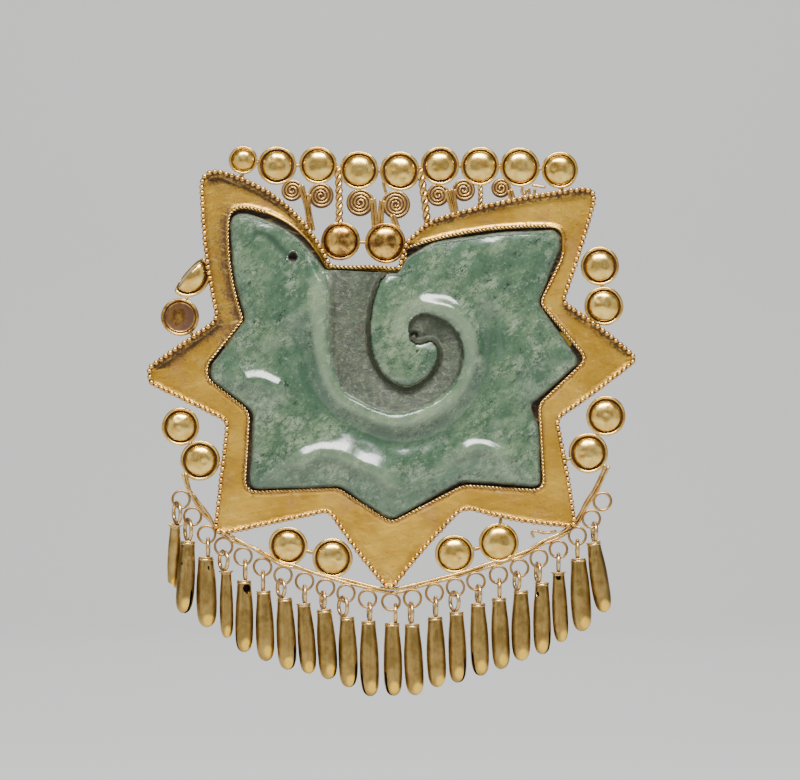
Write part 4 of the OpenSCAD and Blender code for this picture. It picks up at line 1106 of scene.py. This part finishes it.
def relief(points, edge, field):
    """Height of the stone's face above its back at each point, and its mark."""
    x, z = points.T
    rim = distance(points, edge, True)
    body = 1 - np.exp(-sample(field, points) / 7.0)
    h = 1.55 + 0.5 * quarter(rim / 0.7) + 0.3 * smooth(rim / 2.5) + 0.6 * smooth(rim / 7) + 0.3 * body
    to_outer, to_tongue, within = channel(points)
    # The raised band outside the channel, which ends where the whorl runs into the tongue
    band = np.exp(-((to_outer - 1.8) / 2.0) ** 2) * smooth(rim / 3)
    band *= 1 - smooth((z + 30) / 4) * smooth((x + 9) / 2) * (1 - smooth((x - 2) / 5))
    h += np.where(within, 0, band + 0.5 * ridge(points, WHORL, 2.2))
    for line, width, rise in ((LEFT_SWELL, 2.2, 1.2), (RIGHT_SWELL, 1.5, 0.85), (LOBE, 1.9, 1.0),
                              (VALLEY, 2.6, -1.05), (SADDLE, 3.6, -0.3), (LOBE_DIP, 2.6, -0.5)):
        h += rise * ridge(points, line, width)
    for kx, kz, size, phase in WAVES:
        h += size * np.sin(kx * x + kz * z + phase) * smooth(rim / 3)
    # The tongue and the band are rounded towards the channel
    low = z < -13
    lip = 0.3 - 0.3 * smooth((x + 11) / 6)
    h -= np.where(within, 0, 0.85 * (1 - quarter(to_tongue / 2.2)) * low + lip * (1 - quarter(to_outer / 0.7)))
    # The channel's wall is a soft slope on the left and steep on the right and above the pit
    soft = 1.0 + 1.2 * smooth((-3 - x) / 8) * smooth((z + 42) / 6)
    wall = smooth(to_outer / soft) * smooth(to_tongue / 1.1) * within
    floor = 1.6 + 0.75 * smooth(to_tongue / 5)
    h += (floor - h) * wall
    h -= 0.1 * ridge(points, HOOK, 0.9) + 0.05 * ridge(points, CREASE, 1.7)
    # Marks: the channel's floor, the crevices on both its sides, soiled and in painted shade, the edge of the stone
    # and the tongue's dull end
    mark = np.where(within, 0.2 + 0.8 * smooth(to_outer / 0.7) * smooth(to_tongue / 1.1), 0)
    mark = np.maximum(mark, 2.0 * np.exp(-((to_tongue / 1.1) ** 2)) * low * within)
    mark = np.maximum(mark, 1.6 * np.exp(-((to_outer / 0.8) ** 2)) * (within & (z > -34) & (x > 3)))
    mark = np.maximum(mark, 0.9 * smooth((0.8 - rim) / 0.6))
    curl = np.exp(-((x - CURL[0]) ** 2 + (z - CURL[1]) ** 2) / 2.5)
    mark = np.where(mark < 0.05, -0.6 * curl, mark)
    for px, pz, r, deep, core in PITS:
        far = np.hypot(x - px, z - pz)
        h -= deep * smooth((r - far) / 0.4) - core * np.exp(-((far / 0.35) ** 2))
        # Each pit is darkened round its core
        dark_marks = 2 * smooth((r + 0.2 - far) / 0.5) * smooth(far / 0.4)
        mark = np.where(dark_marks > 0.3, np.maximum(mark, dark_marks), mark)
    # Nothing stands higher than the stone was before it was carved
    over = h - ROUND_FROM
    room = STONE_H - 0.02 - ROUND_FROM
    h = np.where(over > 0, ROUND_FROM + room * (1 - np.exp(-np.clip(over, 0, None) / room)), h)
    return np.maximum(h, 0.6), mark


def painted_relief_shading(points):
    """Painted light and shade over the stone's face: paler as painted light on its swellings, and darker where below 0
    as painted shade in its hollows and grooves.
    """
    to_outer, _, within = channel(points)
    pale = np.where(within, 0, np.exp(-((to_outer - 1.9) / 1.7) ** 2)) * smooth((-12 - points[:, 1]) / 5)
    swells = np.maximum(ridge(points, LEFT_SWELL, 2.6), ridge(points, RIGHT_SWELL, 2.2))
    hollows = [ridge(points, VALLEY, 2.4), 0.6 * ridge(points, LOBE_DIP, 2.6), 0.8 * ridge(points, CREASE, 1.8),
               2.0 * ridge(points, HOOK, 0.8)]
    return np.maximum(pale, 0.6 * swells) - np.max(hollows, 0)


# Pitch of the stone's edge and of the grid of its face
STONE_PITCH, GRID_PITCH = 0.4, 0.3


def stone():
    edge = resample(outline(STONE, 0.28), STONE_PITCH)
    n = len(edge)
    run = np.arange(n)
    edge = edge + left(heading(edge)) * (0.05 * np.sin(run * 0.21) + 0.04 * np.sin(run * 0.083 + 2))[:, None]
    low, high = edge.min(0), edge.max(0)
    zs = np.arange(low[1], high[1], GRID_PITCH * 0.866)
    gx, gz = np.meshgrid(np.arange(low[0], high[0], GRID_PITCH), zs, indexing="ij")
    gx = gx + (np.arange(len(zs)) % 2)[None, :] * GRID_PITCH / 2
    grid = np.column_stack([gx.ravel(), gz.ravel()])
    grid = grid[inside(grid, edge)]
    grid = grid[distance(grid, edge, True) > 0.75]
    # Rings near the edge follow the turned-over rim of the stone
    out = left(heading(edge))
    rings = []
    for off in (0.1, 0.25, 0.45):
        ring = edge - out * off
        clear = distance(ring, edge, True) > off * 0.97
        rings.append(ring[clear & inside(ring, edge)])
    pts = np.vstack([edge, *rings, grid])
    border = [(i, (i + 1) % n) for i in range(n)]
    verts, _, faces, *_ = geometry.delaunay_2d_cdt([Vector(p) for p in pts], border, [], 1, 1e-5, False)
    flat = np.array([v[:] for v in verts])
    faces = np.array(faces)
    faces = faces[inside(flat[faces].mean(1), edge)]
    h, dark_marks = relief(flat, edge, pillow(edge))
    soup = Soup()
    face = laid(flat, STONE_BACK + h)
    soup.add(face, faces, dark_marks)
    # The sides, down to the chamfered edge of the back, and the back
    rows = [face[:n]] + [laid(edge - out * draw, STONE_BACK + h[:n] * share)
                         for share, draw in ((0.6, 0), (0.2, 0), (0, 0.25))]
    back = list(range(3 * n, 4 * n))
    soup.add(np.vstack(rows), grid_faces(len(rows), n).tolist() + [back], 0.1)
    piece = soup.object("carved_stone", JADE, 75, "jade")
    place = np.empty(3 * len(piece.data.vertices))
    piece.data.vertices.foreach_get("co", place)
    # Painted light and shade over the relief, as a second attribute
    painted_shading = piece.data.attributes.new("painted_shading", "FLOAT", "POINT")
    painted_shading.data.foreach_set("value", painted_relief_shading(1000 * place.reshape(-1, 3)[:, ::2]).astype(np.float32))
    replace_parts(piece, "jade_plaque")


# Build


def build():
    for piece in (tray(), bead_border(), rope_border(), *bosses(), scrolls(), struts(), *bow()):
        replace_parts(piece, "gold_mount")
    for i in range(len(BELLS)):
        bell(i)
    stone()
    # The hangers are the solids themselves
    for side in ("left", "right"):
        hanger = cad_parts["hanger_" + side]
        hanger.data.materials.clear()
        hanger.data.materials.append(SATIN)


# Camera, light and floor

# In metres: x and height of the view's middle, its width, and how far the camera stands from the front
VIEW_X, VIEW_Z, VIEW_WIDTH, VIEW_FROM = 0.0014, -0.037, 0.16, 0.9
FRONT_Y, SENSOR = -0.0035, 36
WORLD_COLOR, WORLD_STRENGTH = (0.75, 0.77, 0.8, 1), 0.22
# Columns of LIGHTS: name, place, what it is turned to, size, power, colour
MIDDLE, WHITE = (0, 0, -0.04), (1, 1, 1)
LIGHTS = [
    ("key", (0.0, -0.4, 0.46), MIDDLE, (0.5, 0.18), 9.8, WHITE),
    ("front", (0.0, -1.2, 0.1), MIDDLE, (0.9, 0.9), 0.55, (1, 0.9, 0.78)),
    ("fill_left", (-0.7, -0.5, 0.1), MIDDLE, (0.7, 0.7), 1.15, WHITE),
    ("fill_right", (0.7, -0.5, 0.05), MIDDLE, (0.7, 0.7), 0.9, WHITE),
    ("low", (0.05, -0.4, -0.36), MIDDLE, (0.3, 0.16), 0.4, WHITE),
    ("wall", (0, 0.5, 0.75), (0, 1.2, 0), (1.0, 0.3), 8.0, WHITE),
    ("rear", (0, 0.8, 0.5), MIDDLE, (0.8, 0.4), 1.5, WHITE),
]
# The floor's height and front edge, the backdrop and its top, half their width, and the bend between them
FLOOR_Z, FLOOR_Y, WALL_Y, WALL_Z, HALF_WIDTH, BEND = -0.128, -2.5, 1.2, 2.0, 2.5, 0.4


def studio():
    scene = bpy.context.scene
    data = bpy.data.cameras.new("camera")
    data.sensor_width = SENSOR
    data.sensor_fit = "HORIZONTAL"
    data.lens = SENSOR * VIEW_FROM / VIEW_WIDTH
    data.clip_end = 10
    camera = bpy.data.objects.new("camera", data)
    camera.location = (VIEW_X, FRONT_Y - VIEW_FROM, VIEW_Z)
    camera.rotation_euler = (math.pi / 2, 0, 0)
    scene.collection.objects.link(camera)
    scene.camera = camera
    scene.world = bpy.data.worlds.new("studio")
    scene.world.use_nodes = True
    sky = scene.world.node_tree.nodes["Background"].inputs
    sky[0].default_value, sky[1].default_value = WORLD_COLOR, WORLD_STRENGTH
    for name, place, target, size, power, color in LIGHTS:
        data = bpy.data.lights.new(name, "AREA")
        data.shape = "RECTANGLE"
        data.size, data.size_y = size
        data.energy = power
        data.color = color
        light = bpy.data.objects.new(name, data)
        light.location = place
        light.rotation_euler = (Vector(target) - Vector(place)).to_track_quat("-Z", "Y").to_euler()
        scene.collection.objects.link(light)
    # A pale floor that turns up into a plain backdrop
    bend = [(WALL_Y - BEND + BEND * math.sin(a), FLOOR_Z + BEND - BEND * math.cos(a)) for a in arc(0, 90, 12)]
    profile = [(FLOOR_Y, FLOOR_Z), *bend, (WALL_Y, WALL_Z)]
    verts = [(x, y, z) for y, z in profile for x in (-HALF_WIDTH, HALF_WIDTH)]
    faces = [(2 * i, 2 * i + 1, 2 * i + 3, 2 * i + 2) for i in range(len(profile) - 1)]
    mesh = bpy.data.meshes.new("floor")
    mesh.from_pydata(verts, [], faces)
    mesh.shade_smooth()
    mesh.materials.append(Nodes("floor").finish(Base_Color=(0.6, 0.6, 0.59), Roughness=0.8))
    sweep = bpy.data.objects.new("floor", mesh)
    scene.collection.objects.link(sweep)


studio()
build()
